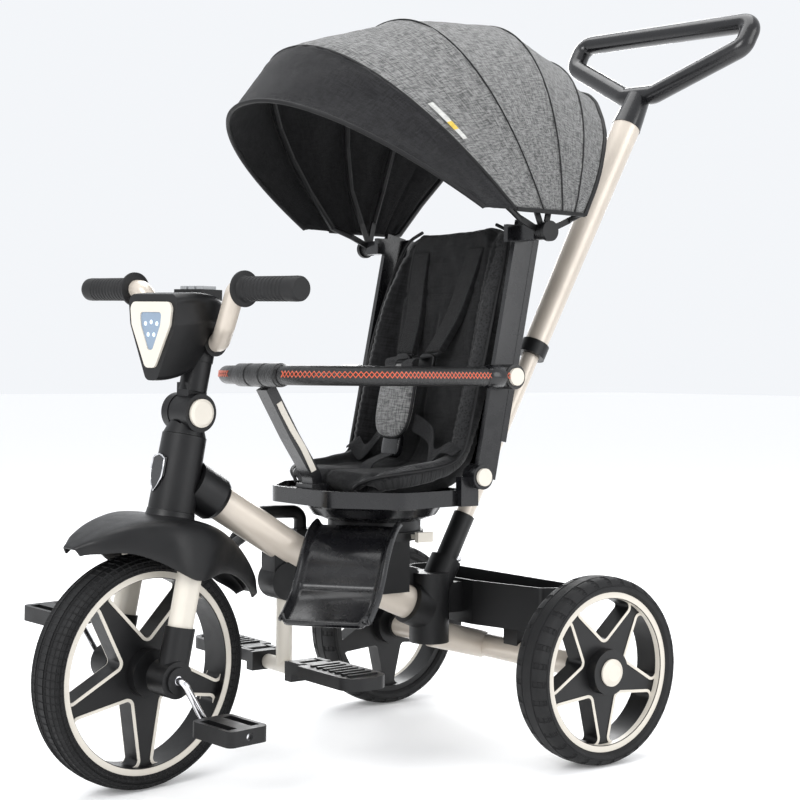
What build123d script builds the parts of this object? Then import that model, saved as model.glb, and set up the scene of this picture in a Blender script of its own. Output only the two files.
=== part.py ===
from build123d import *
import os
from math import cos, hypot, pi, radians, sin

# Children's tricycle with a swivelling seat, hood, guard bar and push handle.
# Millimetres, +Z up, the front looks along -Y and the rider's left is +X.
# Every y below is measured from the rear axle; save() moves the whole model so that
# its box is centred on the origin.

# ---------------------------------------------------------------- driving dimensions
BOX_SHIFT_Y = 156.745
RUN_GAP = 0.05        # radial clearance of a running bore
BODY_GAP = 0.6        # clearance between pieces that move past each other

# wheels
WHEELBASE = 567.5
FRONT_R = 150.0
REAR_R = 128.7
TYRE_WIDTH = 58.0
TYRE_DEPTH = 20.0
RIM_BAND = 9.0
TRIM_BAND = 8.0
TRIM_STEP = 1.2
RIM_WIDTH = 44.0
SPOKE_COUNT = 5
WEB_THICK = 26.0
HUB_R = 31.0
TRACK_HALF = 247.0
AXLE_R = 6.0
CAP_R = 18.5
CAP_DOME = 4.0

# steering head
HEAD_SLOPE = 0.198
HEAD_FOOT_Y = -564.4
HEAD_LOW_Z = 353.0
HEAD_TOP_Z = 450.0
STEERER_TOP_Z = 453.5
HEAD_R = 29.0
STEERER_R = 14.0
BUSH_WALL = 4.0
BUSH_LONG = 16.0
STEER_AT_REST = 8.6
FORK_HALF = 61.0
LEG_WIDE = 34.0
LEG_DEEP = 24.0
SLEEVE_WALL = 3.0
SLEEVE_TOP_Z = 213.0
BULB_R = 23.5
CROWN_Z = 312.0
FENDER_R = 201.0
FENDER_WALL = 3.0
FENDER_PLAN = [(56.0, 20.0, 12.0), (62.0, 36.0, 20.0), (70.0, 50.0, 30.0), (80.0, 66.0, 48.0),
               (90.0, 85.0, 66.0), (100.0, 88.0, 74.0), (110.0, 83.0, 68.0), (122.0, 65.0, 52.0),
               (135.0, 48.0, 36.0), (147.0, 34.0, 24.0), (155.0, 20.0, 14.0)]

# stem, bar and lamp
FOLD_Z = 480.0
JOINT_R = 25.0
STEM_R = 18.5
STEM_TOP_Z = 568.0
FOLD_BUTTON_R = 18.5
BAR_R = 12.5
GRIP_R = 15.5
GRIP_FLANGE_R = 23.0
GRIP_LONG = 111.0
BAR_HALF = 224.0
GRIP_Y = -505.0
GRIP_Z = 640.0
LAMP_Z = 583.0
LAMP_FACE_Y = -560.0
LAMP_BACK_Y = -470.0

# frame
TUBE_WIDE = 40.0
TUBE_TALL = 48.0
TUBE_WALL = 2.0
TUBE_FRONT = (-478.0, 376.5)
TUBE_BEND = (-330.0, 285.0)
TUBE_REAR = (-112.0, 190.5)
KNUCKLE_Y = -100.0
KNUCKLE_R = 29.0
KNUCKLE_LOW_Z = 142.0
KNUCKLE_TOP_Z = 262.0
SPINE_R = 20.0
AXLE_TUBE_R = 17.0
AXLE_TUBE_HALF = 205.0

# basket
BASKET_HALF = 158.0
BASKET_REAR_Y = 44.0
BASKET_RIM_Z = 232.0
BASKET_LOW_Z = 168.0
BASKET_WALL = 3.0

# foot pegs
PEG_Y = -350.0
PEG_TUBE_Z = 133.0
PEG_TUBE_R = 10.0
PEG_TUBE_HALF = 62.0
PEG_PIN_X = 74.0
PEG_PIN_R = 3.0
PEG_START_X = 85.0
PEG_LONG = 120.0
PEG_DEEP = 66.0
PEG_THICK = 16.0
PEG_PIN_Z = PEG_TUBE_Z + 8.0

# seat
PIN_R = 4.0
HUB_BACK_R = 17.0
PIVOT_Y = -200.0
SEAT_HALF = 148.0
SEAT_FRONT = 128.0
SEAT_REAR = 64.0
PAN_LOW_Z = 326.0
RIM_Z = 366.0
RECLINE_Y = -133.0
RECLINE_Z = 392.0
RECLINE_BUTTON_R = 12.0
BACK_TOP_Y = -62.0
BACK_TOP_Z = 745.0
BACK_HALF = 140.0
BACK_WAIST = 0.62       # share of its height where the back starts to narrow
BACK_TOP_SHARE = 0.76
BOLSTER_LONG = 190.0
BOLSTER_MID_Z = 150.0
EAR_OUT = 148.0
RAIL_THICK = 8.0
RAIL_IN = EAR_OUT + BODY_GAP
RAIL_OUT = RAIL_IN + RAIL_THICK
BUTTON_POCKET = 4.4
GUARD_Y = -95.0
GUARD_Z = 529.0
GUARD_FRONT_Y = -388.0
GUARD_R = 13.0
CANOPY_PIN_Y = -66.0
CANOPY_PIN_Z = 727.0
CANOPY_ARM_X = 196.0

# hood: U-shaped ribs that fan out of one cross axis
HOOD_HALF = 226.0
HOOD_POWER = 2.15
HOOD_Y = -56.0
HOOD_Z = 677.0
HOOD_LOW_Z = 752.0
HOOD_WALL = 4.0
HOOD_RIBS = [(45.4, 414.0), (58.0, 388.0), (70.6, 374.5), (83.0, 368.0), (94.9, 366.0),
             (111.0, 352.0), (124.0, 345.0)]
VISOR_RIBS = [(31.0, 417.0), (38.0, 418.0), (44.6, 416.0)]

# footrest plate, turned towards the rider's left of the main tube
FOOTREST_TURN = 38.0
FOOTREST_HALF = 62.0
FOOTREST_PLATE = [(-80.0, 321.0), (-108.0, 311.0), (-143.0, 281.0), (-170.0, 247.0),
                  (-204.0, 219.0), (-228.0, 207.0)]

# push handle
HANDLE_LEAN = 28.4
HANDLE_FOOT = (-101.0, 203.0)
HANDLE_AT_REST = 5.1
SOCKET_R = 16.0
LOWER_TUBE_R = 13.0
UPPER_TUBE_R = 18.0
LOOP_HALF = 190.0
LOOP_R = 15.0

# cranks, pivots, pins and the places where parts end
CRANK_ARM = 64.0
CRANK_LEAN = 30.0
CRANK_R = 4.75
PEDAL_IN = 104.0
PEDAL_LONG = 78.0
PEDAL_DEEP = 62.0
PEDAL_THICK = 20.0
PIVOT_IN = 16.0
PIVOT_OUT = 66.0
PIVOT_R = 10.0
SPINE_FRONT_Z = 154.0
BASKET_NOTCH_Y = -52.0
STAY_X = -60.0
STAY_R = 9.0
CARRIER_TOP_Z = 312.0
CARRIER_R = 70.0
KINGPIN_R = 12.0
FOOTREST_PIN = 84.0
FOOTREST_PIN_Z = 314.0
POST_FOOT_Y = -306.0
POST_WIDE = 26.0
GUARD_IN = RAIL_OUT + BODY_GAP
GUARD_X = GUARD_IN + GUARD_R + 1.0
GUARD_OUT = GUARD_X + 11.0
HOOP_R = 4.5
HOOP_EYE = 3.2
HOOP_X = [CANOPY_ARM_X + BODY_GAP + 4.0 * k for k in range(4)]
HOOP_TAB = 48.0
HOOD_CAP_X = HOOP_X[-1] + HOOP_EYE + BODY_GAP
SOCKET_TOP = 137.0
LOWER_TOP = 560.0
COLLAR_LOW = 406.0
COLLAR_TOP = 428.0
UPPER_TOP = 823.0
NECK_TOP = 872.0


# ---------------------------------------------------------------- small shape makers
def save(name, *shapes):
    """Write one named piece; several shapes make a group of separate solids."""
    placed = [Location((0, BOX_SHIFT_Y, 0)) * shape for shape in shapes]
    export_step(placed[0] if len(placed) == 1 else Compound(children=placed),
                "parts/" + name + ".step")


def rod(start, end, radius):
    start = Vector(*start)
    end = Vector(*end)
    return Solid.make_cylinder(radius, (end - start).length, Plane(start, z_dir=end - start))


def pipe(start, end, radius, bore):
    start = Vector(*start)
    end = Vector(*end)
    reach = (end - start).normalized() * 2
    return rod(start, end, radius) - rod(start - reach, end + reach, bore)


def cone(start, end, radius_start, radius_end):
    start = Vector(*start)
    end = Vector(*end)
    return Solid.make_cone(radius_start, radius_end, (end - start).length,
                           Plane(start, z_dir=end - start))


def block(centre, size):
    return Location(centre) * Box(*size)


def bent_rod(points, radius, corner):
    path = FilletPolyline(*points, radius=corner)
    start = Plane(path @ 0, z_dir=path % 0)
    return sweep(start * Circle(radius), path=path)


def mirror_x(shape):
    return mirror(shape, about=Plane.YZ)


def triangle_skin(outer, inner):
    """Closed thin shell between two grids of points of the same size."""
    faces = []

    def tri(a, b, c):
        if (a - b).length > 1e-6 and (b - c).length > 1e-6 and (a - c).length > 1e-6:
            faces.append(Face(Wire.make_polygon([a, b, c], close=True)))

    def strip(line_a, line_b):
        for k in range(len(line_a) - 1):
            tri(line_a[k], line_a[k + 1], line_b[k + 1])
            tri(line_a[k], line_b[k + 1], line_b[k])

    for grid in (outer, inner):
        for row_a, row_b in zip(grid[:-1], grid[1:]):
            strip(row_a, row_b)
    strip(outer[0], inner[0])
    strip(outer[-1], inner[-1])
    strip([row[0] for row in outer], [row[0] for row in inner])
    strip([row[-1] for row in outer], [row[-1] for row in inner])
    solid = Solid(Shell(faces))
    return solid if solid.volume > 0 else Solid(Shell([-face for face in faces]))


# ---------------------------------------------------------------- wheels
def wheel_tyre(outer_r):
    half = TYRE_WIDTH / 2
    inner_r = outer_r - TYRE_DEPTH
    section = make_face(Polyline((-half + 5, inner_r), (half - 5, inner_r), (half, inner_r + 6),
                                 (half - 3, outer_r - 7), (half - 12, outer_r - 1), (0, outer_r),
                                 (-half + 12, outer_r - 1), (-half + 3, outer_r - 7),
                                 (-half, inner_r + 6), close=True))
    return revolve(section, Axis.X)


def window(outer_r):
    """One wheel window: wide at the rim, with its point towards the hub."""
    edge = outer_r - TYRE_DEPTH - RIM_BAND
    spread = radians(180 / SPOKE_COUNT - 5.0)
    tip = HUB_R + 10.0
    return tip, edge, spread


def window_face(outer_r, grow):
    tip, edge, spread = window(outer_r)
    corner = Vector(edge * cos(spread), edge * sin(spread))
    mid = Vector(edge, 0)
    low = Vector(corner.X, -corner.Y)
    outline = Polyline(low, Vector(tip, 0), corner) + ThreePointArc(corner, mid, low)
    face = fillet(make_face(outline).vertices(), 7.0)
    return offset(face, amount=grow) if grow else face


def wheel_windows(outer_r, grow, depth):
    face = window_face(outer_r, grow)
    solids = []
    for k in range(SPOKE_COUNT):
        turned = Rot(0, 0, 90 + k * 360 / SPOKE_COUNT) * face
        solids.append(extrude(Plane.YZ * turned, amount=depth, both=True))
    return solids


def wheel_rim(outer_r, bore_r):
    half = RIM_WIDTH / 2
    band_out = outer_r - TYRE_DEPTH
    rim = rod((-half, 0, 0), (half, 0, 0), band_out)
    rim -= rod((-half - 1, 0, 0), (half + 1, 0, 0), band_out - RIM_BAND)
    web = rod((-WEB_THICK / 2, 0, 0), (WEB_THICK / 2, 0, 0), band_out - RIM_BAND)
    for cut in wheel_windows(outer_r, 0, WEB_THICK):
        web -= cut
    hub = rod((-half - 6, 0, 0), (half + 6, 0, 0), HUB_R)
    return rim + web + hub - rod((-half - 9, 0, 0), (half + 9, 0, 0), bore_r)


def wheel_trim(outer_r, sides):
    """Painted-look bands: a ring on the rim band and an outline round every window."""
    pieces = []
    band_out = outer_r - TYRE_DEPTH
    ring_x = RIM_WIDTH / 2
    web_x = WEB_THICK / 2
    for side in sides:
        pieces.append(pipe((side * ring_x, 0, 0), (side * (ring_x + TRIM_STEP), 0, 0),
                           band_out, band_out - TRIM_BAND))
        wide = window_face(outer_r, 4.0)
        narrow = window_face(outer_r, 0)
        limit = Circle(band_out - RIM_BAND - 0.02)
        for k in range(SPOKE_COUNT):
            turn = Rot(0, 0, 90 + k * 360 / SPOKE_COUNT)
            outline = (turn * wide & limit) - turn * narrow
            frame_piece = extrude(Plane.YZ * outline, amount=TRIM_STEP)
            shift = web_x if side > 0 else -web_x - TRIM_STEP
            pieces += list((Location((shift, 0, 0)) * frame_piece).solids())
    return pieces


def hub_cap(side):
    start = RIM_WIDTH / 2 + 6
    cap = rod((start, 0, 0), (start + 3, 0, 0), CAP_R)
    cap += cone((start + 3, 0, 0), (start + 3 + CAP_DOME, 0, 0), CAP_R - 0.5, CAP_R - 7)
    return cap if side > 0 else mirror_x(cap)


def rear_wheel(word, side):
    """One rear wheel: the tyre, and the rim with its trim and hub cap."""
    at = Location((side * TRACK_HALF, 0, REAR_R))
    pieces = [wheel_rim(REAR_R, AXLE_R + RUN_GAP), *wheel_trim(REAR_R, [side]), hub_cap(side)]
    save("rear_tyre_" + word, at * wheel_tyre(REAR_R))
    save("rear_rim_" + word, *[at * piece for piece in pieces])


# ---------------------------------------------------------------- steering head frame
HEAD_TILT = hypot(1.0, HEAD_SLOPE)
HEAD_DIR = Vector(0, HEAD_SLOPE / HEAD_TILT, 1.0 / HEAD_TILT)


def head(z, ahead=0.0, x=0.0):
    """Point on the steering axis at height z, moved ahead and to the side."""
    return Vector(x, HEAD_FOOT_Y + HEAD_SLOPE * (z - FRONT_R) - ahead, z)


def steered(shape):
    return shape.rotate(Axis(head(FRONT_R), HEAD_DIR), STEER_AT_REST)


AXLE_POINT = Vector(0, -WHEELBASE, FRONT_R)


def head_body():
    return cone(head(HEAD_LOW_Z), head(HEAD_TOP_Z), HEAD_R + 1.5, HEAD_R)


def head_housing():
    body = head_body()
    tube_start = Vector(0, *TUBE_FRONT)
    tube_dir = (Vector(0, *TUBE_BEND) - tube_start).normalized()
    lug = rod(tube_start - tube_dir * 22, tube_start + tube_dir * 20, TUBE_TALL / 2 + 7)
    lug += cone(tube_start + tube_dir * 20, tube_start + tube_dir * 27, TUBE_TALL / 2 + 7,
                TUBE_TALL / 2 + 3)
    body += lug
    body -= rod(head(HEAD_LOW_Z - 9), head(HEAD_TOP_Z + 9), STEERER_R + BUSH_WALL)
    section = Plane(tube_start, x_dir=(1, 0, 0), z_dir=tube_dir) * Ellipse(
        TUBE_WIDE / 2 + 0.05, TUBE_TALL / 2 + 0.05)
    return body - extrude(section, amount=60)


def head_bushes():
    low = pipe(head(HEAD_LOW_Z), head(HEAD_LOW_Z + BUSH_LONG), STEERER_R + BUSH_WALL,
               STEERER_R + RUN_GAP)
    top = pipe(head(HEAD_TOP_Z - BUSH_LONG), head(HEAD_TOP_Z), STEERER_R + BUSH_WALL,
               STEERER_R + RUN_GAP)
    return [low, top]


def badge():
    z_mid = 403.0
    face = Plane(head(z_mid, HEAD_R - 1.0), x_dir=(1, 0, 0), z_dir=(0, -1, HEAD_SLOPE))
    shield = make_face(Polyline((-15, 21), (0, 25), (15, 21), (15, -4), (0, -25), (-15, -4),
                                close=True))
    plate = extrude(face * fillet(shield.vertices(), 2.5), amount=3.4)
    return plate - head_body()


def fork():
    steerer = rod(head(CROWN_Z), head(STEERER_TOP_Z), STEERER_R)
    crown = block(head(CROWN_Z), (2 * FORK_HALF + 8, 30, 15))
    result = steerer + crown
    for side in (-1, 1):
        result += leg(side, CROWN_Z, SLEEVE_TOP_Z - 28, 0)
    return result


def leg(side, z_top, z_low, grow):
    top = head(z_top, 0, side * FORK_HALF)
    low = head(z_low, 0, side * FORK_HALF)
    plane = Plane(low, x_dir=(1, 0, 0), z_dir=HEAD_DIR)
    section = plane * RectangleRounded(LEG_DEEP + 2 * grow, LEG_WIDE + 2 * grow,
                                       LEG_DEEP / 2 + grow - 0.5)
    return extrude(section, amount=(top - low).length)


def fork_sleeves():
    """Black lower ends of the fork legs, each with its round axle housing."""
    pieces = []
    for side in (-1, 1):
        sleeve = leg(side, SLEEVE_TOP_Z, FRONT_R + 2, SLEEVE_WALL)
        centre = AXLE_POINT + Vector(side * FORK_HALF, 0, 0)
        sleeve += rod(centre - Vector(17, 0, 0), centre + Vector(17, 0, 0), BULB_R)
        sleeve += rod(centre, centre + Vector(side * 20, 0, 0), BULB_R - 7)
        sleeve -= leg(side, SLEEVE_TOP_Z + 5, SLEEVE_TOP_Z - 28, 0)
        sleeve -= rod(centre - Vector(30, 0, 0), centre + Vector(30, 0, 0), AXLE_R + RUN_GAP)
        pieces.append(sleeve)
    return pieces


def fender():
    """Black mudguard: a saddle over the wheel with a collar under the head."""
    outer = []
    inner = []
    for angle, half, drop in FENDER_PLAN:
        row_out = []
        row_in = []
        for k in range(13):
            across = -1.0 + k / 6.0
            for row, cut in ((row_out, 0.0), (row_in, FENDER_WALL)):
                r = FENDER_R - drop * abs(across) ** 9 - cut * (1.0 - 0.7 * abs(across) ** 9)
                x = (half - cut) * across
                row.append(AXLE_POINT + Vector(x, -r * cos(radians(angle)),
                                               r * sin(radians(angle))))
        outer.append(row_out)
        inner.append(row_in)
    shell = triangle_skin(outer, inner)
    collar = cone(head(330), head(HEAD_LOW_Z - BODY_GAP), 40, HEAD_R + 1.5)
    hole = rod(head(CROWN_Z), head(HEAD_LOW_Z + 5), STEERER_R + 0.02)
    return shell + collar - hole


# ---------------------------------------------------------------- stem, bar and lamp
def stem_base():
    """Lower half of the fold joint: two cheeks on a foot over the head housing."""
    foot = cone(head(HEAD_TOP_Z + BODY_GAP), head(FOLD_Z - 14), HEAD_R - 1, JOINT_R - 3)
    barrel = rod(head(FOLD_Z, 0, -26), head(FOLD_Z, 0, 26), JOINT_R)
    body = foot + barrel
    body -= rod(head(FOLD_Z, 0, -13), head(FOLD_Z, 0, 13), JOINT_R + 1.5)
    body -= rod(head(FOLD_Z, 0, 20.5), head(FOLD_Z, 0, 27), FOLD_BUTTON_R + BODY_GAP)
    body -= rod(head(FOLD_Z, 0, -27), head(FOLD_Z, 0, 27), 4.0)
    return body - rod(head(HEAD_TOP_Z), head(STEERER_TOP_Z), STEERER_R)


def fold_pin():
    return rod(head(FOLD_Z, 0, -25), head(FOLD_Z, 0, 17), 4.0)


def fold_button():
    start = head(FOLD_Z, 0, 24.2)
    disc = rod(start, start + Vector(5, 0, 0), FOLD_BUTTON_R)
    return disc + cone(start + Vector(5, 0, 0), start + Vector(7, 0, 0), FOLD_BUTTON_R,
                       FOLD_BUTTON_R - 4)


def stem():
    tongue = rod(head(FOLD_Z, 0, -12.4), head(FOLD_Z, 0, 12.4), JOINT_R - 1)
    neck = block(head(FOLD_Z + 22), (24.8, 30, 34))
    tube = rod(head(FOLD_Z + JOINT_R + 2), head(STEM_TOP_Z), STEM_R)
    tube += rod(head(546), head(STEM_TOP_Z), STEM_R + 1.2)
    clamp = rod(BAR_LOW + Vector(-26, 0, 0), BAR_LOW + Vector(26, 0, 0), BAR_R + 6)
    body = tongue + neck + tube + clamp
    body -= rod(head(FOLD_Z, 0, -14), head(FOLD_Z, 0, 14), 4.0 + RUN_GAP)
    return body - rod(BAR_LOW + Vector(-60, 0, 0), BAR_LOW + Vector(60, 0, 0), BAR_R)


BAR_LOW = head(572) + Vector(0, 4, 0)


def handlebar():
    grip_in = BAR_HALF - GRIP_LONG
    points = [(-BAR_HALF + 4, GRIP_Y, GRIP_Z), (-grip_in + 14, GRIP_Y, GRIP_Z),
              (-grip_in + 48, GRIP_Y + 12, GRIP_Z - 46), (-34, BAR_LOW.Y, BAR_LOW.Z),
              (34, BAR_LOW.Y, BAR_LOW.Z), (grip_in - 48, GRIP_Y + 12, GRIP_Z - 46),
              (grip_in - 14, GRIP_Y, GRIP_Z), (BAR_HALF - 4, GRIP_Y, GRIP_Z)]
    return bent_rod(points, BAR_R, 16)


def grip(side):
    inner_end = Vector(side * (BAR_HALF - GRIP_LONG), GRIP_Y, GRIP_Z)
    along = Vector(side, 0, 0)
    body = rod(inner_end, inner_end + along * GRIP_LONG, GRIP_R)
    body += rod(inner_end, inner_end + along * 5, GRIP_FLANGE_R)
    return body - rod(inner_end - along, inner_end + along * (GRIP_LONG - 4), BAR_R)


def lamp_section(y, z_mid, wide, tall):
    half = wide / 2
    top = tall * 0.45
    outline = make_face(Polyline((-half, top), (half, top), (half * 0.9, top - tall * 0.35),
                                 (half * 0.22, top - tall), (-half * 0.22, top - tall),
                                 (-half * 0.9, top - tall * 0.35), close=True))
    rounded = fillet(outline.vertices(), wide * 0.11)
    return Plane((0, y, z_mid), x_dir=(1, 0, 0), z_dir=(0, -1, 0)) * rounded


def lamp_shell():
    faces = [lamp_section(LAMP_BACK_Y, LAMP_Z + 12, 62, 70),
             lamp_section((LAMP_BACK_Y + LAMP_FACE_Y) / 2, LAMP_Z + 4, 108, 106),
             lamp_section(LAMP_FACE_Y, LAMP_Z - 1, 106, 110)]
    shell = loft(faces)
    shell += block((0, LAMP_BACK_Y - 18, LAMP_Z + 50), (58, 34, 14))
    for k in (-1, 0, 1):
        shell -= block((k * 17, LAMP_BACK_Y - 18, LAMP_Z + 57), (13 + BODY_GAP, 22 + BODY_GAP, 8))
    shell -= extrude(lamp_section(LAMP_FACE_Y + 6, LAMP_Z + 1, 90.1, 84.1), amount=20)
    shell -= rod(head(FOLD_Z + JOINT_R), head(600), STEM_R + 1.25)
    for side in (-1, 1):
        shell -= rod(BAR_LOW, BAR_LOW + Vector(side * 40, 0, 0), BAR_R + 6.05)
        shell -= rod((side * 34, BAR_LOW.Y, BAR_LOW.Z),
                     (side * 65, GRIP_Y + 12, GRIP_Z - 46), BAR_R + 1.5)
        shell -= rod((side * 65, GRIP_Y + 12, GRIP_Z - 46), (side * 99, GRIP_Y, GRIP_Z),
                     BAR_R + 1.5)
    return max(shell.solids(), key=lambda solid: solid.volume)


def lamp_trim():
    ring = lamp_section(LAMP_FACE_Y + 6, LAMP_Z + 1, 90, 84)
    hole = lamp_section(LAMP_FACE_Y + 7, LAMP_Z + 4, 46.1, 48.1)
    return extrude(ring, amount=9) - extrude(hole, amount=12)


def lamp_lens():
    return extrude(lamp_section(LAMP_FACE_Y + 6, LAMP_Z + 4, 46, 48), amount=7.5)


def light_button(k):
    return block((k * 17, LAMP_BACK_Y - 18, LAMP_Z + 58.2), (13, 22, 6.4))


# ---------------------------------------------------------------- front wheel and crank


def crank_end(side):
    """Pedal axis on one side, on the crank's own half turn."""
    reach = side * CRANK_ARM
    return Vector(0, sin(radians(CRANK_LEAN)) * reach, -cos(radians(CRANK_LEAN)) * reach)


def crank():
    near = crank_end(1)
    far = crank_end(-1)
    points = []
    for x, offset in ((-PEDAL_IN - PEDAL_LONG + 4, far), (-PEDAL_IN + 9, far), (-91, Vector(0, 0, 0)),
                      (91, Vector(0, 0, 0)), (PEDAL_IN - 9, near),
                      (PEDAL_IN + PEDAL_LONG - 4, near)):
        points.append(AXLE_POINT + Vector(x, 0, 0) + offset)
    rod_shape = bent_rod(points, CRANK_R, 9)
    sleeve = rod(AXLE_POINT + Vector(-80, 0, 0), AXLE_POINT + Vector(80, 0, 0), AXLE_R)
    return rod_shape + sleeve


def pedal(side):
    middle = AXLE_POINT + crank_end(side) + Vector(side * (PEDAL_IN + PEDAL_LONG / 2), 0, 0)
    body = block(middle, (PEDAL_LONG, PEDAL_DEEP, PEDAL_THICK))
    body = fillet(body.edges().filter_by(Axis.Z), 9)
    for fore in (-1, 1):
        body -= block(middle + Vector(0, fore * 18, 0), (PEDAL_LONG - 22, 14, PEDAL_THICK + 2))
    reach = Vector(side * PEDAL_LONG, 0, 0)
    return body - rod(middle - reach, middle + reach, CRANK_R + RUN_GAP)


def front_wheel():
    at = Location(AXLE_POINT)
    save("front_tyre", steered(at * wheel_tyre(FRONT_R)))
    save("front_rim", steered(at * wheel_rim(FRONT_R, AXLE_R)))
    save("front_trim", *[steered(at * piece) for piece in wheel_trim(FRONT_R, [-1, 1])])


# ---------------------------------------------------------------- main frame
def main_tube_path():
    return FilletPolyline((0, *TUBE_FRONT), (0, *TUBE_BEND), (0, *TUBE_REAR), radius=260)


def main_tube_solid(grow):
    path = main_tube_path()
    plane = Plane(path @ 0, x_dir=(1, 0, 0), z_dir=path % 0)
    return sweep(plane * Ellipse(TUBE_WIDE / 2 + grow, TUBE_TALL / 2 + grow), path=path)


def main_tube():
    return main_tube_solid(0) - main_tube_solid(-TUBE_WALL)


def tube_z(y):
    """Height of the main tube's centre line over y."""
    if y < TUBE_BEND[0]:
        first, second = TUBE_FRONT, TUBE_BEND
    else:
        first, second = TUBE_BEND, TUBE_REAR
    share = (y - first[0]) / (second[0] - first[0])
    return first[1] + share * (second[1] - first[1])


def handle_point(t, x=0.0):
    lean = radians(HANDLE_LEAN)
    return Vector(x, HANDLE_FOOT[0] + t * sin(lean), HANDLE_FOOT[1] + t * cos(lean))


HANDLE_DIR = Vector(0, sin(radians(HANDLE_LEAN)), cos(radians(HANDLE_LEAN)))


def knuckle():
    body = rod((0, KNUCKLE_Y, KNUCKLE_LOW_Z), (0, KNUCKLE_Y, KNUCKLE_TOP_Z - 18), KNUCKLE_R)
    body += rod(handle_point(0), handle_point(PIVOT_OUT), KNUCKLE_R - 6)
    body += rod((0, KNUCKLE_Y - 34, tube_z(KNUCKLE_Y - 34) + 36), (-26, KNUCKLE_Y - 34,
                tube_z(KNUCKLE_Y - 34) + 36), 17)
    body += block((0, (KNUCKLE_Y + BASKET_NOTCH_Y) / 2, 206), (34, BASKET_NOTCH_Y - KNUCKLE_Y, 44))
    body += rod((0, TUBE_REAR[0] - 28, tube_z(TUBE_REAR[0] - 28)), (0, *TUBE_REAR), TUBE_TALL / 2 + 6)
    body -= main_tube_solid(0)
    body -= rod((0, KNUCKLE_Y + 4, SPINE_FRONT_Z), (0, 0, REAR_R), SPINE_R)
    return body - rod(handle_point(PIVOT_IN), handle_point(PIVOT_OUT + 2), PIVOT_R + RUN_GAP)


def rear_frame():
    """Spine tube welded to the cross tube that carries the rear axle."""
    spine = rod((0, KNUCKLE_Y + 4, SPINE_FRONT_Z), (0, 0, REAR_R), SPINE_R)
    cross = rod((-AXLE_TUBE_HALF, 0, REAR_R), (AXLE_TUBE_HALF, 0, REAR_R), AXLE_TUBE_R)
    hollow = rod((-AXLE_TUBE_HALF - 1, 0, REAR_R), (AXLE_TUBE_HALF + 1, 0, REAR_R),
                 AXLE_TUBE_R - 2)
    return spine + cross - hollow


def axle_bushes():
    pieces = []
    for side in (-1, 1):
        inner_end = Vector(side * (AXLE_TUBE_HALF - 20), 0, REAR_R)
        face = Vector(side * AXLE_TUBE_HALF, 0, REAR_R)
        lip = face + Vector(side * 4, 0, 0)
        bush = rod(inner_end, face, AXLE_TUBE_R - 2) + rod(face, lip, AXLE_TUBE_R + 3)
        pieces.append(bush - rod(inner_end - (lip - face), lip + (lip - face), AXLE_R))
    return pieces


def rear_axle():
    reach = TRACK_HALF + RIM_WIDTH / 2 + 2
    return rod((-reach, 0, REAR_R), (reach, 0, REAR_R), AXLE_R)


def basket():
    plan = make_face(Polyline((-40, BASKET_NOTCH_Y), (40, BASKET_NOTCH_Y), (BASKET_HALF, -24),
                              (BASKET_HALF + 14, 6), (BASKET_HALF, BASKET_REAR_Y),
                              (-BASKET_HALF, BASKET_REAR_Y), (-BASKET_HALF - 14, 6),
                              (-BASKET_HALF, -24), close=True))
    plan = fillet(plan.vertices(), 11)
    tray = extrude(Location((0, 0, BASKET_LOW_Z)) * plan, amount=BASKET_RIM_Z - BASKET_LOW_Z)
    inside = extrude(Location((0, 0, BASKET_LOW_Z + BASKET_WALL)) * offset(plan, amount=-BASKET_WALL),
                     amount=BASKET_RIM_Z)
    tray -= inside
    for side in (-1, 1):
        tray += block((side * 80, 0, BASKET_LOW_Z - 14), (30, 26, 28))
    return tray - rod((-200, 0, REAR_R), (200, 0, REAR_R), AXLE_TUBE_R)


def stay():
    """Bent stay from the seat carrier's arm to a lug on the main tube."""
    x = STAY_X
    points = [(x, -286, CARRIER_TOP_Z), (x, -286, 336), (x, -350, 338), (x, -390, 305),
              (x, -403, 284)]
    tube = bent_rod(points, STAY_R, 14)
    lug = rod((x, -398, 294), (-TUBE_WIDE / 2 + 6, -398, 316), 7)
    return tube + lug - main_tube_solid(0)


def seat_carrier():
    post = block((0, PIVOT_Y, (CARRIER_TOP_Z + 222) / 2), (58, 84, CARRIER_TOP_Z - 222))
    disc = rod((0, PIVOT_Y, CARRIER_TOP_Z - 12), (0, PIVOT_Y, CARRIER_TOP_Z), CARRIER_R)
    arm = block((STAY_X, -265, CARRIER_TOP_Z - 6), (26, 70, 12))
    king = rod((0, PIVOT_Y, CARRIER_TOP_Z), (0, PIVOT_Y, PAN_LOW_Z - 1), KINGPIN_R)
    body = post + disc + arm + king - main_tube_solid(0)
    slot = block((CARRIER_R, PIVOT_Y + 24, CARRIER_TOP_Z - 6), (52, 20 + BODY_GAP, 6 + BODY_GAP))
    body -= slot
    turn = Location((0, PIVOT_Y, 0)) * Rot(0, 0, FOOTREST_TURN)
    ears = []
    for side in (-1, 1):
        ear = block((side * 40, -FOOTREST_PIN + 16, CARRIER_TOP_Z - 6), (12, 50, 12))
        ear += rod((side * 34, -FOOTREST_PIN, FOOTREST_PIN_Z),
                   (side * 46, -FOOTREST_PIN, FOOTREST_PIN_Z), 8)
        ears.append(turn * ear)
    body += ears[0] + ears[1]
    bore = rod((-60, -FOOTREST_PIN, FOOTREST_PIN_Z), (60, -FOOTREST_PIN, FOOTREST_PIN_Z), 3 + RUN_GAP)
    return body - turn * bore


def swivel_lever():
    lever = block((64, PIVOT_Y + 24, CARRIER_TOP_Z - 6), (38, 20, 6))
    return lever + block((85, PIVOT_Y + 24, CARRIER_TOP_Z - 6), (8, 26, 14))


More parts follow.
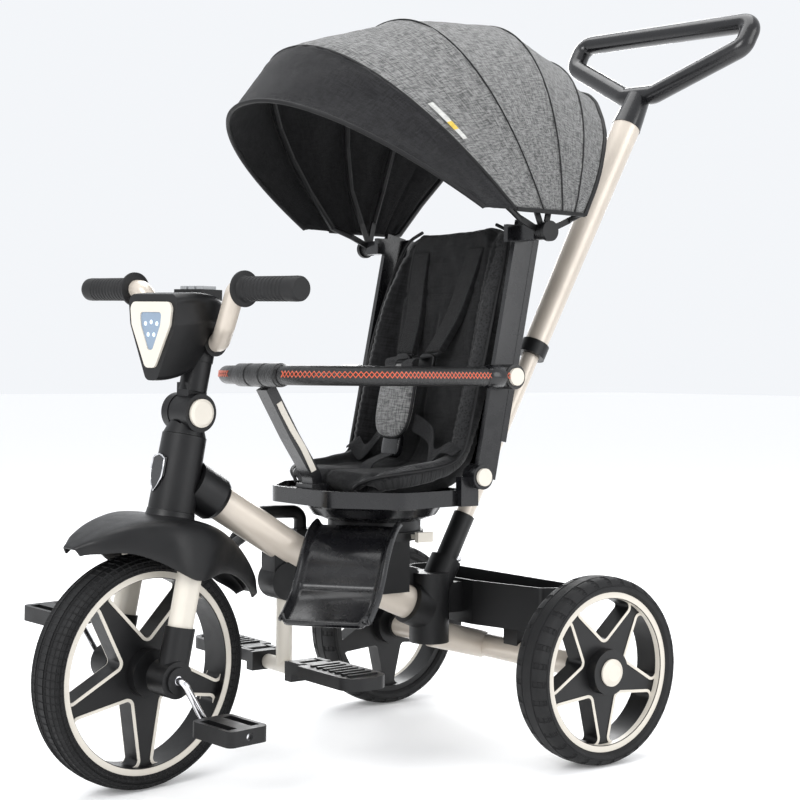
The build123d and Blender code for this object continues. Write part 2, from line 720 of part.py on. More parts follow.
def footrest():
    turn = Location((0, PIVOT_Y, 0)) * Rot(0, 0, FOOTREST_TURN)
    line = FilletPolyline(*[(0, d, z) for d, z in FOOTREST_PLATE], radius=14)
    start = Plane(line @ 0, x_dir=(1, 0, 0), z_dir=line % 0)
    plate = sweep(start * Rectangle(2 * FOOTREST_HALF, 5), path=line)
    rims = []
    for side in (-1, 1):
        rim_section = start * (Location((side * (FOOTREST_HALF - 4), 0)) * Rectangle(12, 18))
        rims.append(sweep(rim_section, path=line))
    last = FOOTREST_PLATE[-1]
    toe = block((0, last[0] - 4, last[1]), (2 * FOOTREST_HALF + 4, 10, 18))
    body = plate + rims[0] + rims[1] + toe
    for side in (-1, 1):
        body += block((side * 26, -FOOTREST_PIN - 1, FOOTREST_PIN_Z), (14, 20, 14))
    body -= rod((-60, -FOOTREST_PIN, FOOTREST_PIN_Z), (60, -FOOTREST_PIN, FOOTREST_PIN_Z), 3)
    for side in (-1, 1):
        body -= block((side * 40, -FOOTREST_PIN + 2, FOOTREST_PIN_Z - 4), (12 + 2 * BODY_GAP, 30, 40))
    return turn * body


def footrest_pin():
    turn = Location((0, PIVOT_Y, 0)) * Rot(0, 0, FOOTREST_TURN)
    return turn * rod((-47, -FOOTREST_PIN, FOOTREST_PIN_Z), (47, -FOOTREST_PIN, FOOTREST_PIN_Z), 3)


# ---------------------------------------------------------------- foot pegs
def peg_bracket():
    centre_z = tube_z(PEG_Y) - TUBE_TALL / 2 - 24
    body = rod((-27, PEG_Y, centre_z), (12, PEG_Y, centre_z), 26)
    saddle = block((-7, PEG_Y, centre_z + 26), (34, 44, 40))
    body += saddle
    return body - main_tube_solid(0) - rod((0, PEG_Y, PEG_TUBE_Z), (0, PEG_Y, centre_z), 11)


def peg_post():
    centre_z = tube_z(PEG_Y) - TUBE_TALL / 2 - 24
    post = rod((0, PEG_Y, PEG_TUBE_Z), (0, PEG_Y, centre_z), 11)
    cross = rod((-PEG_TUBE_HALF, PEG_Y, PEG_TUBE_Z), (PEG_TUBE_HALF, PEG_Y, PEG_TUBE_Z), PEG_TUBE_R)
    return post + cross


def peg_clevis(side):
    """Fixed fork on the end of the cross tube with the pin that the platform folds on."""
    base_x = PEG_TUBE_HALF - 13
    body = block((side * base_x, PEG_Y, PEG_TUBE_Z + 2), (16, 50, 26))
    for end in (-1, 1):
        ear = rod((side * PEG_PIN_X, PEG_Y + end * 17, PEG_PIN_Z),
                  (side * PEG_PIN_X, PEG_Y + end * 25, PEG_PIN_Z), PEG_THICK / 2 + 0.5)
        ear += block((side * (base_x + PEG_PIN_X) / 2, PEG_Y + end * 21, PEG_PIN_Z),
                     (PEG_PIN_X - base_x, 8, PEG_THICK))
        body += ear
    body += rod((side * PEG_PIN_X, PEG_Y - 20, PEG_PIN_Z), (side * PEG_PIN_X, PEG_Y + 20, PEG_PIN_Z),
                PEG_PIN_R)
    return body - rod((-PEG_TUBE_HALF, PEG_Y, PEG_TUBE_Z), (PEG_TUBE_HALF, PEG_Y, PEG_TUBE_Z),
                      PEG_TUBE_R)


def peg_platform(side):
    middle = Vector(side * (PEG_START_X + PEG_LONG / 2), PEG_Y, PEG_PIN_Z)
    body = block(middle, (PEG_LONG, PEG_DEEP, PEG_THICK))
    outer_edges = body.edges().filter_by(Axis.Z).group_by(Axis.X)[-1 if side > 0 else 0]
    body = fillet(outer_edges, 26)
    body += rod((side * PEG_PIN_X, PEG_Y - 16.4, PEG_PIN_Z),
                (side * PEG_PIN_X, PEG_Y + 16.4, PEG_PIN_Z), PEG_THICK / 2)
    body += block((side * (PEG_PIN_X + 8), PEG_Y, PEG_PIN_Z), (16, 32.8, PEG_THICK))
    for k in range(7):
        rib_x = side * (PEG_START_X + 16 + k * 14)
        body += block((rib_x, PEG_Y, PEG_PIN_Z + PEG_THICK / 2 + 1), (5, PEG_DEEP - 22, 2.4))
    return body - rod((side * PEG_PIN_X, PEG_Y - 20, PEG_PIN_Z),
                      (side * PEG_PIN_X, PEG_Y + 20, PEG_PIN_Z), PEG_PIN_R + RUN_GAP)


# ---------------------------------------------------------------- seat
def seat_base():
    profile = make_face(Polyline((0, PAN_LOW_Z), (66, PAN_LOW_Z), (88, 334), (95, 345),
                                 (102, 352.5), (0, 352.5), close=True))
    bowl = revolve(Plane.XZ * profile, Axis.Z)
    bowl = Location((0, PIVOT_Y, 0)) * bowl
    plan = Polyline((-SEAT_HALF + 10, SEAT_REAR), (-SEAT_HALF, -60), (-70, -SEAT_FRONT),
                    (70, -SEAT_FRONT), (SEAT_HALF, -60), (SEAT_HALF - 10, SEAT_REAR), close=True)
    plan = fillet(make_face(plan).vertices(), 38)
    plate = extrude(Location((0, PIVOT_Y, 352)) * plan, amount=RIM_Z - 352)
    lip = extrude(Location((0, PIVOT_Y, RIM_Z)) * plan, amount=8)
    lip -= extrude(Location((0, PIVOT_Y, RIM_Z - 1)) * offset(plan, amount=-5), amount=12)
    body = bowl + plate + lip
    for side in (-1, 1):
        ear = block((side * (EAR_OUT - 6), RECLINE_Y - 13, (RECLINE_Z + 352) / 2), (12, 30, RECLINE_Z - 352))
        ear += rod((side * (EAR_OUT - 12), RECLINE_Y, RECLINE_Z), (side * EAR_OUT, RECLINE_Y, RECLINE_Z),
                   HUB_BACK_R)
        body += ear
        body -= rod((side * 120, RECLINE_Y, RECLINE_Z), (side * 160, RECLINE_Y, RECLINE_Z),
                    PIN_R + RUN_GAP)
    body += block((0, POST_FOOT_Y, RIM_Z + 7), (40, 26, 14))
    body -= block((0, POST_FOOT_Y, RIM_Z + 12), (POST_WIDE, 16, 24))
    return body - rod((0, PIVOT_Y, 300), (0, PIVOT_Y, PAN_LOW_Z + 8), KINGPIN_R + RUN_GAP)


def turntable():
    ring = rod((0, PIVOT_Y, CARRIER_TOP_Z + 0.4), (0, PIVOT_Y, PAN_LOW_Z), 66)
    return ring - rod((0, PIVOT_Y, 300), (0, PIVOT_Y, PAN_LOW_Z + 8), KINGPIN_R + RUN_GAP)


def crotch_post():
    line = FilletPolyline((0, POST_FOOT_Y, RIM_Z), (0, POST_FOOT_Y, RIM_Z + 24),
                          (0, -343, 446), (0, GUARD_FRONT_Y + 6, GUARD_Z - GUARD_R - 3.5),
                          radius=26)
    start = Plane(line @ 0, x_dir=(1, 0, 0), z_dir=line % 0)
    return sweep(start * Rectangle(POST_WIDE, 15.8), path=line)


def recline_pins():
    return [rod((side * (EAR_OUT - 12), RECLINE_Y, RECLINE_Z), (side * RAIL_OUT, RECLINE_Y, RECLINE_Z),
                PIN_R) for side in (-1, 1)]


def seat_pad():
    plan = Polyline((-SEAT_HALF + 22, 52), (-SEAT_HALF + 14, -58), (-68, -SEAT_FRONT + 40),
                    (68, -SEAT_FRONT + 40), (SEAT_HALF - 14, -58), (SEAT_HALF - 22, 52), close=True)
    plan = fillet(make_face(plan).vertices(), 30)
    return extrude(Location((0, PIVOT_Y, RIM_Z + 0.3)) * plan, amount=26)


def back_at():
    """Place of the backrest: its foot at the recline axis, leaning back."""
    lean = hypot(BACK_TOP_Y - RECLINE_Y, BACK_TOP_Z - RECLINE_Z)
    angle = (BACK_TOP_Y - RECLINE_Y) / (BACK_TOP_Z - RECLINE_Z)
    return lean, Location((0, RECLINE_Y, RECLINE_Z), (-180 / pi * angle, 0, 0))


def side_rod(side, x_from, x_to, y, z, radius):
    """Round piece across the seat, on one side."""
    return rod((side * x_from, y, z), (side * x_to, y, z), radius)


def back_sheet(half, low, high, rear, thick):
    """Upright plate across the back that narrows towards its rounded top."""
    waist = low + BACK_WAIST * (high - low)
    plan = Polyline((-half, low), (-half, waist), (-half * BACK_TOP_SHARE, high),
                    (half * BACK_TOP_SHARE, high), (half, waist), (half, low), close=True)
    plan = fillet(make_face(plan).vertices(), 30)
    return extrude(Location((0, rear, 0)) * (Plane.XZ * plan), amount=thick)


def back_frame():
    long, at = back_at()
    rail_x = (RAIL_IN + RAIL_OUT) / 2
    body = at * back_sheet(BACK_HALF - 3, 14, long - 14, 38, 8)
    for side in (-1, 1):
        body += at * block((side * rail_x, 8, long / 2), (RAIL_THICK, 34, long))
        body += at * block((side * (BACK_HALF + 7), 28, long / 2 + 26), (20, 10, long - 56))
        body += side_rod(side, RAIL_IN, RAIL_OUT + BUTTON_POCKET, RECLINE_Y, RECLINE_Z,
                         HUB_BACK_R)
        body += side_rod(side, RAIL_IN, RAIL_OUT, GUARD_Y, GUARD_Z, 18)
        body += block((side * (rail_x + CANOPY_ARM_X) / 2, CANOPY_PIN_Y, CANOPY_PIN_Z),
                      (CANOPY_ARM_X - rail_x, 22, 20))
        body += block((side * rail_x, CANOPY_PIN_Y - 4, CANOPY_PIN_Z), (RAIL_THICK, 40, 24))
        body -= side_rod(side, RAIL_OUT, RAIL_OUT + 9, RECLINE_Y, RECLINE_Z,
                         RECLINE_BUTTON_R + BODY_GAP)
        body -= side_rod(side, 130, 200, GUARD_Y, GUARD_Z, PIN_R)
        body -= side_rod(side, 140, 170, RECLINE_Y, RECLINE_Z, PIN_R)
        body -= side_rod(side, CANOPY_ARM_X - 20, CANOPY_ARM_X + 5, CANOPY_PIN_Y, CANOPY_PIN_Z, PIN_R)
    return body


def recline_button(side):
    return side_rod(side, RAIL_OUT + 3.8, RAIL_OUT + 8.4, RECLINE_Y, RECLINE_Z, RECLINE_BUTTON_R)


def back_pad():
    long, at = back_at()
    pad = back_sheet(BACK_HALF - 5, 51, long + 1, 29, 38)
    for side in (-1, 1):
        pad += block((side * (BACK_HALF - 20), -14, BOLSTER_MID_Z), (26, 34, BOLSTER_LONG))
    return at * pad


# ---------------------------------------------------------------- guard bar


def guard_bar():
    line = FilletPolyline((GUARD_X, GUARD_Y - 16, GUARD_Z), (GUARD_X, GUARD_FRONT_Y, GUARD_Z),
                          (-GUARD_X, GUARD_FRONT_Y, GUARD_Z), (-GUARD_X, GUARD_Y - 16, GUARD_Z),
                          radius=112)
    start = Plane(line @ 0, z_dir=line % 0)
    body = sweep(start * Circle(GUARD_R), path=line)
    for side in (-1, 1):
        body += side_rod(side, GUARD_IN, GUARD_OUT, GUARD_Y, GUARD_Z, 17)
        body += block((side * (GUARD_X - 1), GUARD_Y - 14, GUARD_Z), (20, 28, 26))
        body -= side_rod(side, 150, GUARD_OUT + 5, GUARD_Y, GUARD_Z, PIN_R + RUN_GAP)
        body -= side_rod(side, GUARD_OUT - BUTTON_POCKET, GUARD_OUT + 5, GUARD_Y, GUARD_Z,
                         RECLINE_BUTTON_R + BODY_GAP)
    return body


def guard_pins():
    return [side_rod(side, RAIL_IN, GUARD_OUT - BUTTON_POCKET - 0.6, GUARD_Y, GUARD_Z, PIN_R)
            for side in (-1, 1)]


def guard_button(side):
    return side_rod(side, GUARD_OUT - 0.6, GUARD_OUT + 4, GUARD_Y, GUARD_Z, RECLINE_BUTTON_R)


# ---------------------------------------------------------------- hood
def rib_points(angle, radius, cut, count):
    """Points along one hood rib, from the left lower end over the top to the right."""
    half = HOOD_HALF - cut
    reach = radius - cut
    low = HOOD_LOW_Z - HOOD_Z
    points = []
    steps = 200
    shape = []
    for k in range(steps + 1):
        turn = pi * k / steps
        x = half * (1 if cos(turn) >= 0 else -1) * abs(cos(turn)) ** (2 / HOOD_POWER)
        r = reach * abs(sin(turn)) ** (2 / HOOD_POWER)
        y = HOOD_Y - r * cos(radians(angle))
        z = HOOD_Z + r * sin(radians(angle))
        if z >= HOOD_Z + low:
            shape.append(Vector(x, y, z))
    for k in range(count):
        points.append(shape[round(k * (len(shape) - 1) / (count - 1))])
    return points


def hood_panel(ribs, wall):
    outer = [rib_points(angle, radius, 0, 15) for angle, radius in ribs]
    inner = [rib_points(angle, radius, wall, 15) for angle, radius in ribs]
    return triangle_skin(outer, inner)


def tube_skin(points, radius):
    """Closed tube of eight flats along a chain of points."""
    rows = []
    for k, point in enumerate(points):
        before = points[max(k - 1, 0)]
        after = points[min(k + 1, len(points) - 1)]
        along = (after - before).normalized()
        side = along.cross(Vector(0.05, 1, 0.4)).normalized()
        up = along.cross(side)
        rows.append([point + side * (radius * cos(pi * j / 4)) + up * (radius * sin(pi * j / 4))
                     for j in range(8)])
    faces = []

    def tri(a, b, c):
        faces.append(Face(Wire.make_polygon([a, b, c], close=True)))

    for row_a, row_b in zip(rows[:-1], rows[1:]):
        for j in range(8):
            n = (j + 1) % 8
            tri(row_a[j], row_a[n], row_b[n])
            tri(row_a[j], row_b[n], row_b[j])
    for row in (rows[0], rows[-1]):
        for j in range(1, 7):
            tri(row[0], row[j], row[j + 1])
    solid = Solid(Shell(faces))
    return solid if solid.volume > 0 else Solid(Shell([-face for face in faces]))


def hoop(angle, radius, eye_x):
    """One hood hoop: a bent tube that ends in flat tabs with eyes on the hood pins."""
    points = rib_points(angle, radius, HOOD_WALL + HOOP_R + 3.0, 15)
    pin = Vector(eye_x + HOOP_EYE / 2, CANOPY_PIN_Y, CANOPY_PIN_Z)
    points = [point for point in points
              if hypot(point.Y - pin.Y, point.Z - pin.Z) > HOOP_TAB]
    aim = (points[0] - pin).normalized()
    flat = Vector(0, aim.Y, aim.Z).normalized()
    tab_end = pin + flat * (HOOP_TAB - 6)
    chain = [tab_end] + points + [Vector(-tab_end.X, tab_end.Y, tab_end.Z)]
    body = tube_skin(chain, HOOP_R)
    for side in (-1, 1):
        eye = side_rod(side, eye_x, eye_x + HOOP_EYE, CANOPY_PIN_Y, CANOPY_PIN_Z, 11)
        plane = Plane((side * (eye_x + HOOP_EYE / 2), CANOPY_PIN_Y, CANOPY_PIN_Z),
                      x_dir=(1, 0, 0), z_dir=flat)
        tab = extrude(plane * Rectangle(HOOP_EYE, 8.4), amount=HOOP_TAB - 4)
        body += eye + tab
        body -= side_rod(side, 150, 230, CANOPY_PIN_Y, CANOPY_PIN_Z, PIN_R + RUN_GAP)
    return body


def hood_pins():
    return [side_rod(side, CANOPY_ARM_X - 20, HOOD_CAP_X, CANOPY_PIN_Y, CANOPY_PIN_Z, PIN_R)
            for side in (-1, 1)]


def hood_caps():
    return [side_rod(side, HOOD_CAP_X, HOOD_CAP_X + 6, CANOPY_PIN_Y, CANOPY_PIN_Z, 14)
            for side in (-1, 1)]


# ---------------------------------------------------------------- push handle
def turned(shape):
    return shape.rotate(Axis(handle_point(0), HANDLE_DIR), HANDLE_AT_REST)


def handle_socket():
    body = rod(handle_point(PIVOT_OUT + BODY_GAP), handle_point(SOCKET_TOP), SOCKET_R)
    body += rod(handle_point(PIVOT_IN + 1), handle_point(PIVOT_OUT + 6), PIVOT_R)
    return body - rod(handle_point(PIVOT_OUT + 14), handle_point(SOCKET_TOP + 5), LOWER_TUBE_R)


def handle_lower_tube():
    return pipe(handle_point(PIVOT_OUT + 14), handle_point(LOWER_TOP), LOWER_TUBE_R, LOWER_TUBE_R - 2)


def handle_collar():
    body = rod(handle_point(COLLAR_LOW), handle_point(COLLAR_TOP), UPPER_TUBE_R + 3.5)
    body += rod(handle_point(COLLAR_TOP), handle_point(COLLAR_TOP + 24), UPPER_TUBE_R - 2)
    return body - rod(handle_point(COLLAR_LOW - 5), handle_point(COLLAR_TOP + 30),
                      LOWER_TUBE_R + RUN_GAP)


def handle_upper_tube():
    body = cone(handle_point(COLLAR_TOP), handle_point(UPPER_TOP), UPPER_TUBE_R, UPPER_TUBE_R + 4.5)
    return body - rod(handle_point(COLLAR_TOP - 5), handle_point(UPPER_TOP + 5), UPPER_TUBE_R - 2)


def handle_loop():
    plane = Plane(handle_point(0), x_dir=(1, 0, 0), z_dir=Vector(1, 0, 0).cross(HANDLE_DIR))
    low = NECK_TOP + 12
    outline = make_face(Polyline((-30, low), (30, low), (LOOP_HALF - 16, 958), (LOOP_HALF - 14, 1004),
                                 (-LOOP_HALF + 14, 1004), (-LOOP_HALF + 16, 958), close=True))
    wire = (plane * fillet(outline.vertices(), 19)).face().outer_wire()
    ring = sweep(Plane(wire @ 0, z_dir=wire % 0) * Circle(LOOP_R), path=wire)
    neck = cone(handle_point(UPPER_TOP), handle_point(NECK_TOP + 8), UPPER_TUBE_R + 5.5, 19)
    plug = rod(handle_point(UPPER_TOP - 30), handle_point(UPPER_TOP), UPPER_TUBE_R - 2)
    return ring + neck + plug


# ---------------------------------------------------------------- write every piece
os.makedirs("parts", exist_ok=True)

save("main_tube", main_tube())
save("head_housing", head_housing())
save("bushes", *head_bushes(), *axle_bushes())
save("badge", badge())
save("knuckle", knuckle())
save("rear_frame", rear_frame())
save("rear_axle", rear_axle())
save("basket", basket())
save("seat_carrier", seat_carrier(), stay())
save("swivel_lever", swivel_lever())
save("footrest", footrest(), footrest_pin())
save("peg_mounts", peg_bracket(), peg_clevis(-1), peg_clevis(1))
save("peg_post", peg_post())
for word, side in (("left", 1), ("right", -1)):
    save("peg_" + word, peg_platform(side))
    rear_wheel(word, side)

save("fork", steered(fork()))
save("fork_sleeves", *[steered(piece) for piece in fork_sleeves()])
save("fender", steered(fender()))
save("stem_base", steered(stem_base()), steered(fold_pin()))
save("fold_button", steered(fold_button()))
save("stem", steered(stem()))
save("handlebar", steered(handlebar()))
save("grips", steered(grip(-1)), steered(grip(1)))
save("lamp_shell", steered(lamp_shell()))
save("lamp_trim", steered(lamp_trim()))
save("lamp_lens", steered(lamp_lens()))
save("light_buttons", *[steered(light_button(k)) for k in (-1, 0, 1)])
front_wheel()
save("crank", steered(crank()))
for word, side in (("left", 1), ("right", -1)):
    save("pedal_" + word, steered(pedal(side)))

save("turntable", turntable())
save("seat_base", seat_base())
save("seat_pad", seat_pad())
save("crotch_post", crotch_post())
save("back_frame", back_frame())
save("back_pad", back_pad())
save("back_pins", *recline_pins(), *guard_pins(), *hood_pins(), *hood_caps())
save("guard_bar", guard_bar())
for word, side in (("left", 1), ("right", -1)):
    save("recline_button_" + word, recline_button(side))
    save("guard_button_" + word, guard_button(side))
save("hood_fabric", hood_panel(HOOD_RIBS, HOOD_WALL))
save("hood_visor", hood_panel(VISOR_RIBS, HOOD_WALL))
for k, word in enumerate(("front", "mid_front", "mid_rear", "rear")):
    save("hoop_" + word, hoop(*HOOD_RIBS[2 * k], HOOP_X[k]))

save("handle_socket", turned(handle_socket()))
save("handle_lower_tube", turned(handle_lower_tube()))
save("handle_collar", turned(handle_collar()))
save("handle_upper_tube", turned(handle_upper_tube()))
save("handle_loop", turned(handle_loop()))
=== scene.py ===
from math import asin, cos, hypot, pi, radians, sin

import bpy
from mathutils import Matrix, Vector, noise


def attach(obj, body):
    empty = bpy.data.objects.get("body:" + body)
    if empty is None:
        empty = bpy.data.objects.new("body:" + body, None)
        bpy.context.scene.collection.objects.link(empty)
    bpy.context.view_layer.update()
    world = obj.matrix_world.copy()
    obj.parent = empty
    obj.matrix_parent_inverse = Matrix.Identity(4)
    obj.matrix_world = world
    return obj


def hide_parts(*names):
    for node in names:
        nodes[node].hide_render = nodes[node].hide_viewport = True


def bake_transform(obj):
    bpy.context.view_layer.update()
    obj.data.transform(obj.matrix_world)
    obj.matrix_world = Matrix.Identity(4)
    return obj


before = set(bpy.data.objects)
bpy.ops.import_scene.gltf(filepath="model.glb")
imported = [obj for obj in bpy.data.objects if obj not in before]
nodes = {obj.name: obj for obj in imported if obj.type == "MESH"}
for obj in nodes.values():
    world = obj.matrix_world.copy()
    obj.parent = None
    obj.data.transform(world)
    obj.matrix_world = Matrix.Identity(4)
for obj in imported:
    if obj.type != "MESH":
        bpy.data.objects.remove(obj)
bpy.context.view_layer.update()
bpy.ops.object.select_all(action="DESELECT")

# ---------------------------------------------------------------- camera
# The tricycle is seen from its left front at wheel height, with a short telephoto lens.
right = Vector((0.5969, 0.8023, 0.0073))
up = Vector((-0.0187, 0.0049, 0.9998))
back = right.cross(up)
stand = Vector((1.8114, -1.3473, 0.5348))
bpy.ops.object.camera_add()
camera = bpy.context.object
camera.name = "camera"
camera.data.lens = 70.9
camera.data.sensor_width = 36.0
camera.matrix_world = Matrix(((right.x, up.x, back.x, stand.x), (right.y, up.y, back.y, stand.y),
                              (right.z, up.z, back.z, stand.z), (0, 0, 0, 1)))
bpy.context.scene.camera = camera

# ---------------------------------------------------------------- studio
# A pale floor that runs out of sight, a pale surround and large soft lamps.
bpy.ops.mesh.primitive_plane_add(size=60, location=(0, 0, 0))
floor = bpy.context.object
floor.name = "floor"
pale = bpy.data.materials.new("pale_floor")
pale.use_nodes = True
pale_shader = pale.node_tree.nodes["Principled BSDF"]
pale_shader.inputs["Base Color"].default_value = (0.93, 0.93, 0.93, 1)
pale_shader.inputs["Roughness"].default_value = 0.9
pale_shader.inputs["Emission Color"].default_value = (1, 1, 1, 1)
pale_shader.inputs["Emission Strength"].default_value = 0.12
floor.data.materials.append(pale)
world = bpy.data.worlds.new("studio")
bpy.context.scene.world = world
world.use_nodes = True
world.node_tree.nodes["Background"].inputs["Color"].default_value = (0.95, 0.97, 1.0, 1)
world.node_tree.nodes["Background"].inputs["Strength"].default_value = 0.95
bpy.context.scene.view_settings.view_transform = "Standard"
middle = Vector((0, 0, 0.55))
LAMPS = [("key", (1.2, -3.0, 2.3), 1.8, 75), ("side", (3.2, 1.4, 1.6), 2.2, 45),
         ("above", (-0.4, 0.3, 3.2), 2.6, 60), ("behind", (-2.6, 2.2, 1.8), 1.6, 60)]
for lamp_name, place, size, power in LAMPS:
    bpy.ops.object.light_add(type="AREA", location=place)
    lamp = bpy.context.object
    lamp.name = "light_" + lamp_name
    lamp.data.size = size
    lamp.data.energy = power
    lamp.rotation_euler = (Vector(place) - middle).to_track_quat("Z", "Y").to_euler()


# ---------------------------------------------------------------- steel tubes
# The main tube, the rear spine and the push handle's tubes are round and oval steel, painted a
# warm champagne with a fine metallic flake under a satin coat.
def noise_field(tree, scale, detail=3.0, stretch=None, source="Object"):
    place = tree.nodes.new("ShaderNodeTexCoord")
    field = tree.nodes.new("ShaderNodeTexNoise")
    field.inputs["Scale"].default_value = scale
    field.inputs["Detail"].default_value = detail
    if stretch:
        turn = tree.nodes.new("ShaderNodeMapping")
        turn.inputs["Scale"].default_value = stretch
        tree.links.new(place.outputs[source], turn.inputs["Vector"])
        tree.links.new(turn.outputs["Vector"], field.inputs["Vector"])
    else:
        tree.links.new(place.outputs[source], field.inputs["Vector"])
    return field.outputs["Fac"]


def spread(tree, value, low, high):
    """Value from 0.3 to 0.7 spread over low to high."""
    scale = tree.nodes.new("ShaderNodeMapRange")
    scale.inputs["From Min"].default_value = 0.3
    scale.inputs["From Max"].default_value = 0.7
    scale.inputs["To Min"].default_value = low
    scale.inputs["To Max"].default_value = high
    tree.links.new(value, scale.inputs["Value"])
    return scale.outputs["Result"]


def two_tone(tree, value, dark, light, low=0.3, high=0.7):
    ramp = tree.nodes.new("ShaderNodeValToRGB")
    ramp.color_ramp.elements[0].color = (*dark, 1)
    ramp.color_ramp.elements[1].color = (*light, 1)
    ramp.color_ramp.elements[0].position = low
    ramp.color_ramp.elements[1].position = high
    tree.links.new(value, ramp.inputs["Fac"])
    return ramp.outputs["Color"]


def relief(tree, value, depth, strength=1.0, under=None):
    bump = tree.nodes.new("ShaderNodeBump")
    bump.inputs["Distance"].default_value = depth
    bump.inputs["Strength"].default_value = strength
    tree.links.new(value, bump.inputs["Height"])
    if under:
        tree.links.new(under, bump.inputs["Normal"])
    return bump.outputs["Normal"]


def hard_finish(name, colour, rough, grain=1400.0, depth=0.00006, metal=0.0, coat=0.0, drift=0.12,
                sheen=0.0, specular=0.5):
    """A moulded, painted or plated surface: colour drift, uneven gloss and a fine grain."""
    finish = bpy.data.materials.new(name)
    finish.use_nodes = True
    tree = finish.node_tree
    shader = tree.nodes["Principled BSDF"]
    dark = [c * (1 - drift) for c in colour]
    light = [min(1.0, c * (1 + drift)) for c in colour]
    tree.links.new(two_tone(tree, noise_field(tree, 14.0, 4.0), dark, light),
                   shader.inputs["Base Color"])
    tree.links.new(spread(tree, noise_field(tree, 60.0), rough - 0.05, rough + 0.06),
                   shader.inputs["Roughness"])
    tree.links.new(relief(tree, noise_field(tree, grain, 2.0), depth), shader.inputs["Normal"])
    shader.inputs["Metallic"].default_value = metal
    shader.inputs["Coat Weight"].default_value = coat
    shader.inputs["Coat Roughness"].default_value = 0.12
    shader.inputs["Sheen Weight"].default_value = sheen
    shader.inputs["Specular IOR Level"].default_value = specular
    return finish


def cover(names, finish):
    for node_name in names:
        for holder in nodes[node_name].material_slots:
            holder.material = finish


champagne = hard_finish("champagne_paint", (0.56, 0.50, 0.43), 0.34, 2600.0, 0.00003, 0.25, 0.3, 0.04)
cover(("main_tube", "rear_frame", "handle_lower_tube", "handle_upper_tube", "handlebar"), champagne)
CREAM_TONE = (0.62, 0.58, 0.51)
cream = hard_finish("cream_plastic", CREAM_TONE, 0.38, 1800.0, 0.00003, 0.0, 0.1, 0.03)
cover(("fork", "peg_post", "swivel_lever", "fold_button", "recline_button_left", "lamp_trim",
       "recline_button_right", "guard_button_left", "guard_button_right", "front_trim"), cream)
satin_black = hard_finish("satin_black_plastic", (0.006, 0.006, 0.0065), 0.40, specular=0.30)
cover(("head_housing", "bushes", "knuckle", "seat_carrier", "peg_mounts", "peg_left", "peg_right",
       "fork_sleeves", "stem_base", "stem", "lamp_shell", "turntable", "back_pins", "handle_socket",
       "handle_collar", "hoop_front", "hoop_mid_front", "hoop_mid_rear", "hoop_rear",
       "pedal_left", "pedal_right", "basket"), satin_black)
gloss_black = hard_finish("gloss_black_plastic", (0.005, 0.005, 0.006), 0.26, 900.0, 0.00003, 0.0, 0.25,
                          specular=0.4)
cover(("seat_base", "handle_loop", "footrest", "back_frame", "badge", "crotch_post"), gloss_black)
plated = hard_finish("chrome_plate", (0.72, 0.72, 0.74), 0.14, 600.0, 0.00001, 1.0, 0.0, 0.05)
cover(("crank", "rear_axle"), plated)
cover(("light_buttons",), hard_finish("button_grey", (0.36, 0.37, 0.38), 0.45))


# ---------------------------------------------------------------- wheels
# Each rim is one black moulding with five windows, a raised cream line round every window and
# on the rim's edge, and a cream hub cap. The line stands 1.2 mm proud of the black.
WEB_LINE_OUT = 0.0136     # how far from the wheel's middle plane the cream lines and cap begin
EDGE_LINE_OUT = 0.0226
CAP_OUT = 0.0283
HUB_REACH = 0.0325
RIM_BAND = 0.030          # how far the band of lines at the rim's edge lies inside the tyre


def rim_finish(name, centre_x, radius):
    """Black rim whose raised lines and hub cap are cream, told apart by their height."""
    finish = hard_finish(name, (0.007, 0.007, 0.0075), 0.38, specular=0.32)
    tree = finish.node_tree
    shader = tree.nodes["Principled BSDF"]
    place = tree.nodes.new("ShaderNodeTexCoord")
    apart = tree.nodes.new("ShaderNodeSeparateXYZ")
    tree.links.new(place.outputs["Object"], apart.inputs["Vector"])

    def calc(kind, first, second):
        step = tree.nodes.new("ShaderNodeMath")
        step.operation = kind
        for socket, value in zip(step.inputs, (first, second)):
            if isinstance(value, float):
                socket.default_value = value
            else:
                tree.links.new(value, socket)
        return step.outputs["Value"]

    out = calc("SUBTRACT", calc("ABSOLUTE", apart.outputs["X"], 0.0), centre_x)
    run = calc("SUBTRACT", apart.outputs["Y"], AXLE_Y)
    rise = calc("SUBTRACT", apart.outputs["Z"], radius)
    reach = calc("SQRT", calc("ADD", calc("MULTIPLY", run, run), calc("MULTIPLY", rise, rise)), 0.0)
    web = calc("MULTIPLY", calc("GREATER_THAN", out, WEB_LINE_OUT),
               calc("MULTIPLY", calc("GREATER_THAN", reach, HUB_REACH),
                    calc("LESS_THAN", reach, radius - RIM_BAND + 0.001)))
    edge = calc("MULTIPLY", calc("GREATER_THAN", out, EDGE_LINE_OUT),
                calc("GREATER_THAN", reach, radius - RIM_BAND))
    cap = calc("GREATER_THAN", out, CAP_OUT)
    mask = calc("MAXIMUM", calc("MAXIMUM", web, edge), cap)
    mix = tree.nodes.new("ShaderNodeMix")
    mix.data_type = "RGBA"
    tree.links.new(shader.inputs["Base Color"].links[0].from_socket, mix.inputs[6])
    mix.inputs[7].default_value = (*CREAM_TONE, 1)
    tree.links.new(mask, mix.inputs["Factor"])
    tree.links.new(mix.outputs[2], shader.inputs["Base Color"])
    return finish


AXLE_Y = 0.156745
REAR_RADIUS = 0.1287
FRONT_RADIUS = 0.150
rear_rim_finish = rim_finish("rear_rim_two_tone", 0.247, REAR_RADIUS)
cover(("rear_rim_left", "rear_rim_right"), rear_rim_finish)
cover(("front_rim",), satin_black)

HEAD_POINT = Vector((0, -0.407655, 0.150))
HEAD_DIR = Vector((0, 0.19423, 0.98096))
STEERED = (Matrix.Translation(HEAD_POINT) @ Matrix.Rotation(radians(8.6), 4, HEAD_DIR)
           @ Matrix.Translation(-HEAD_POINT))


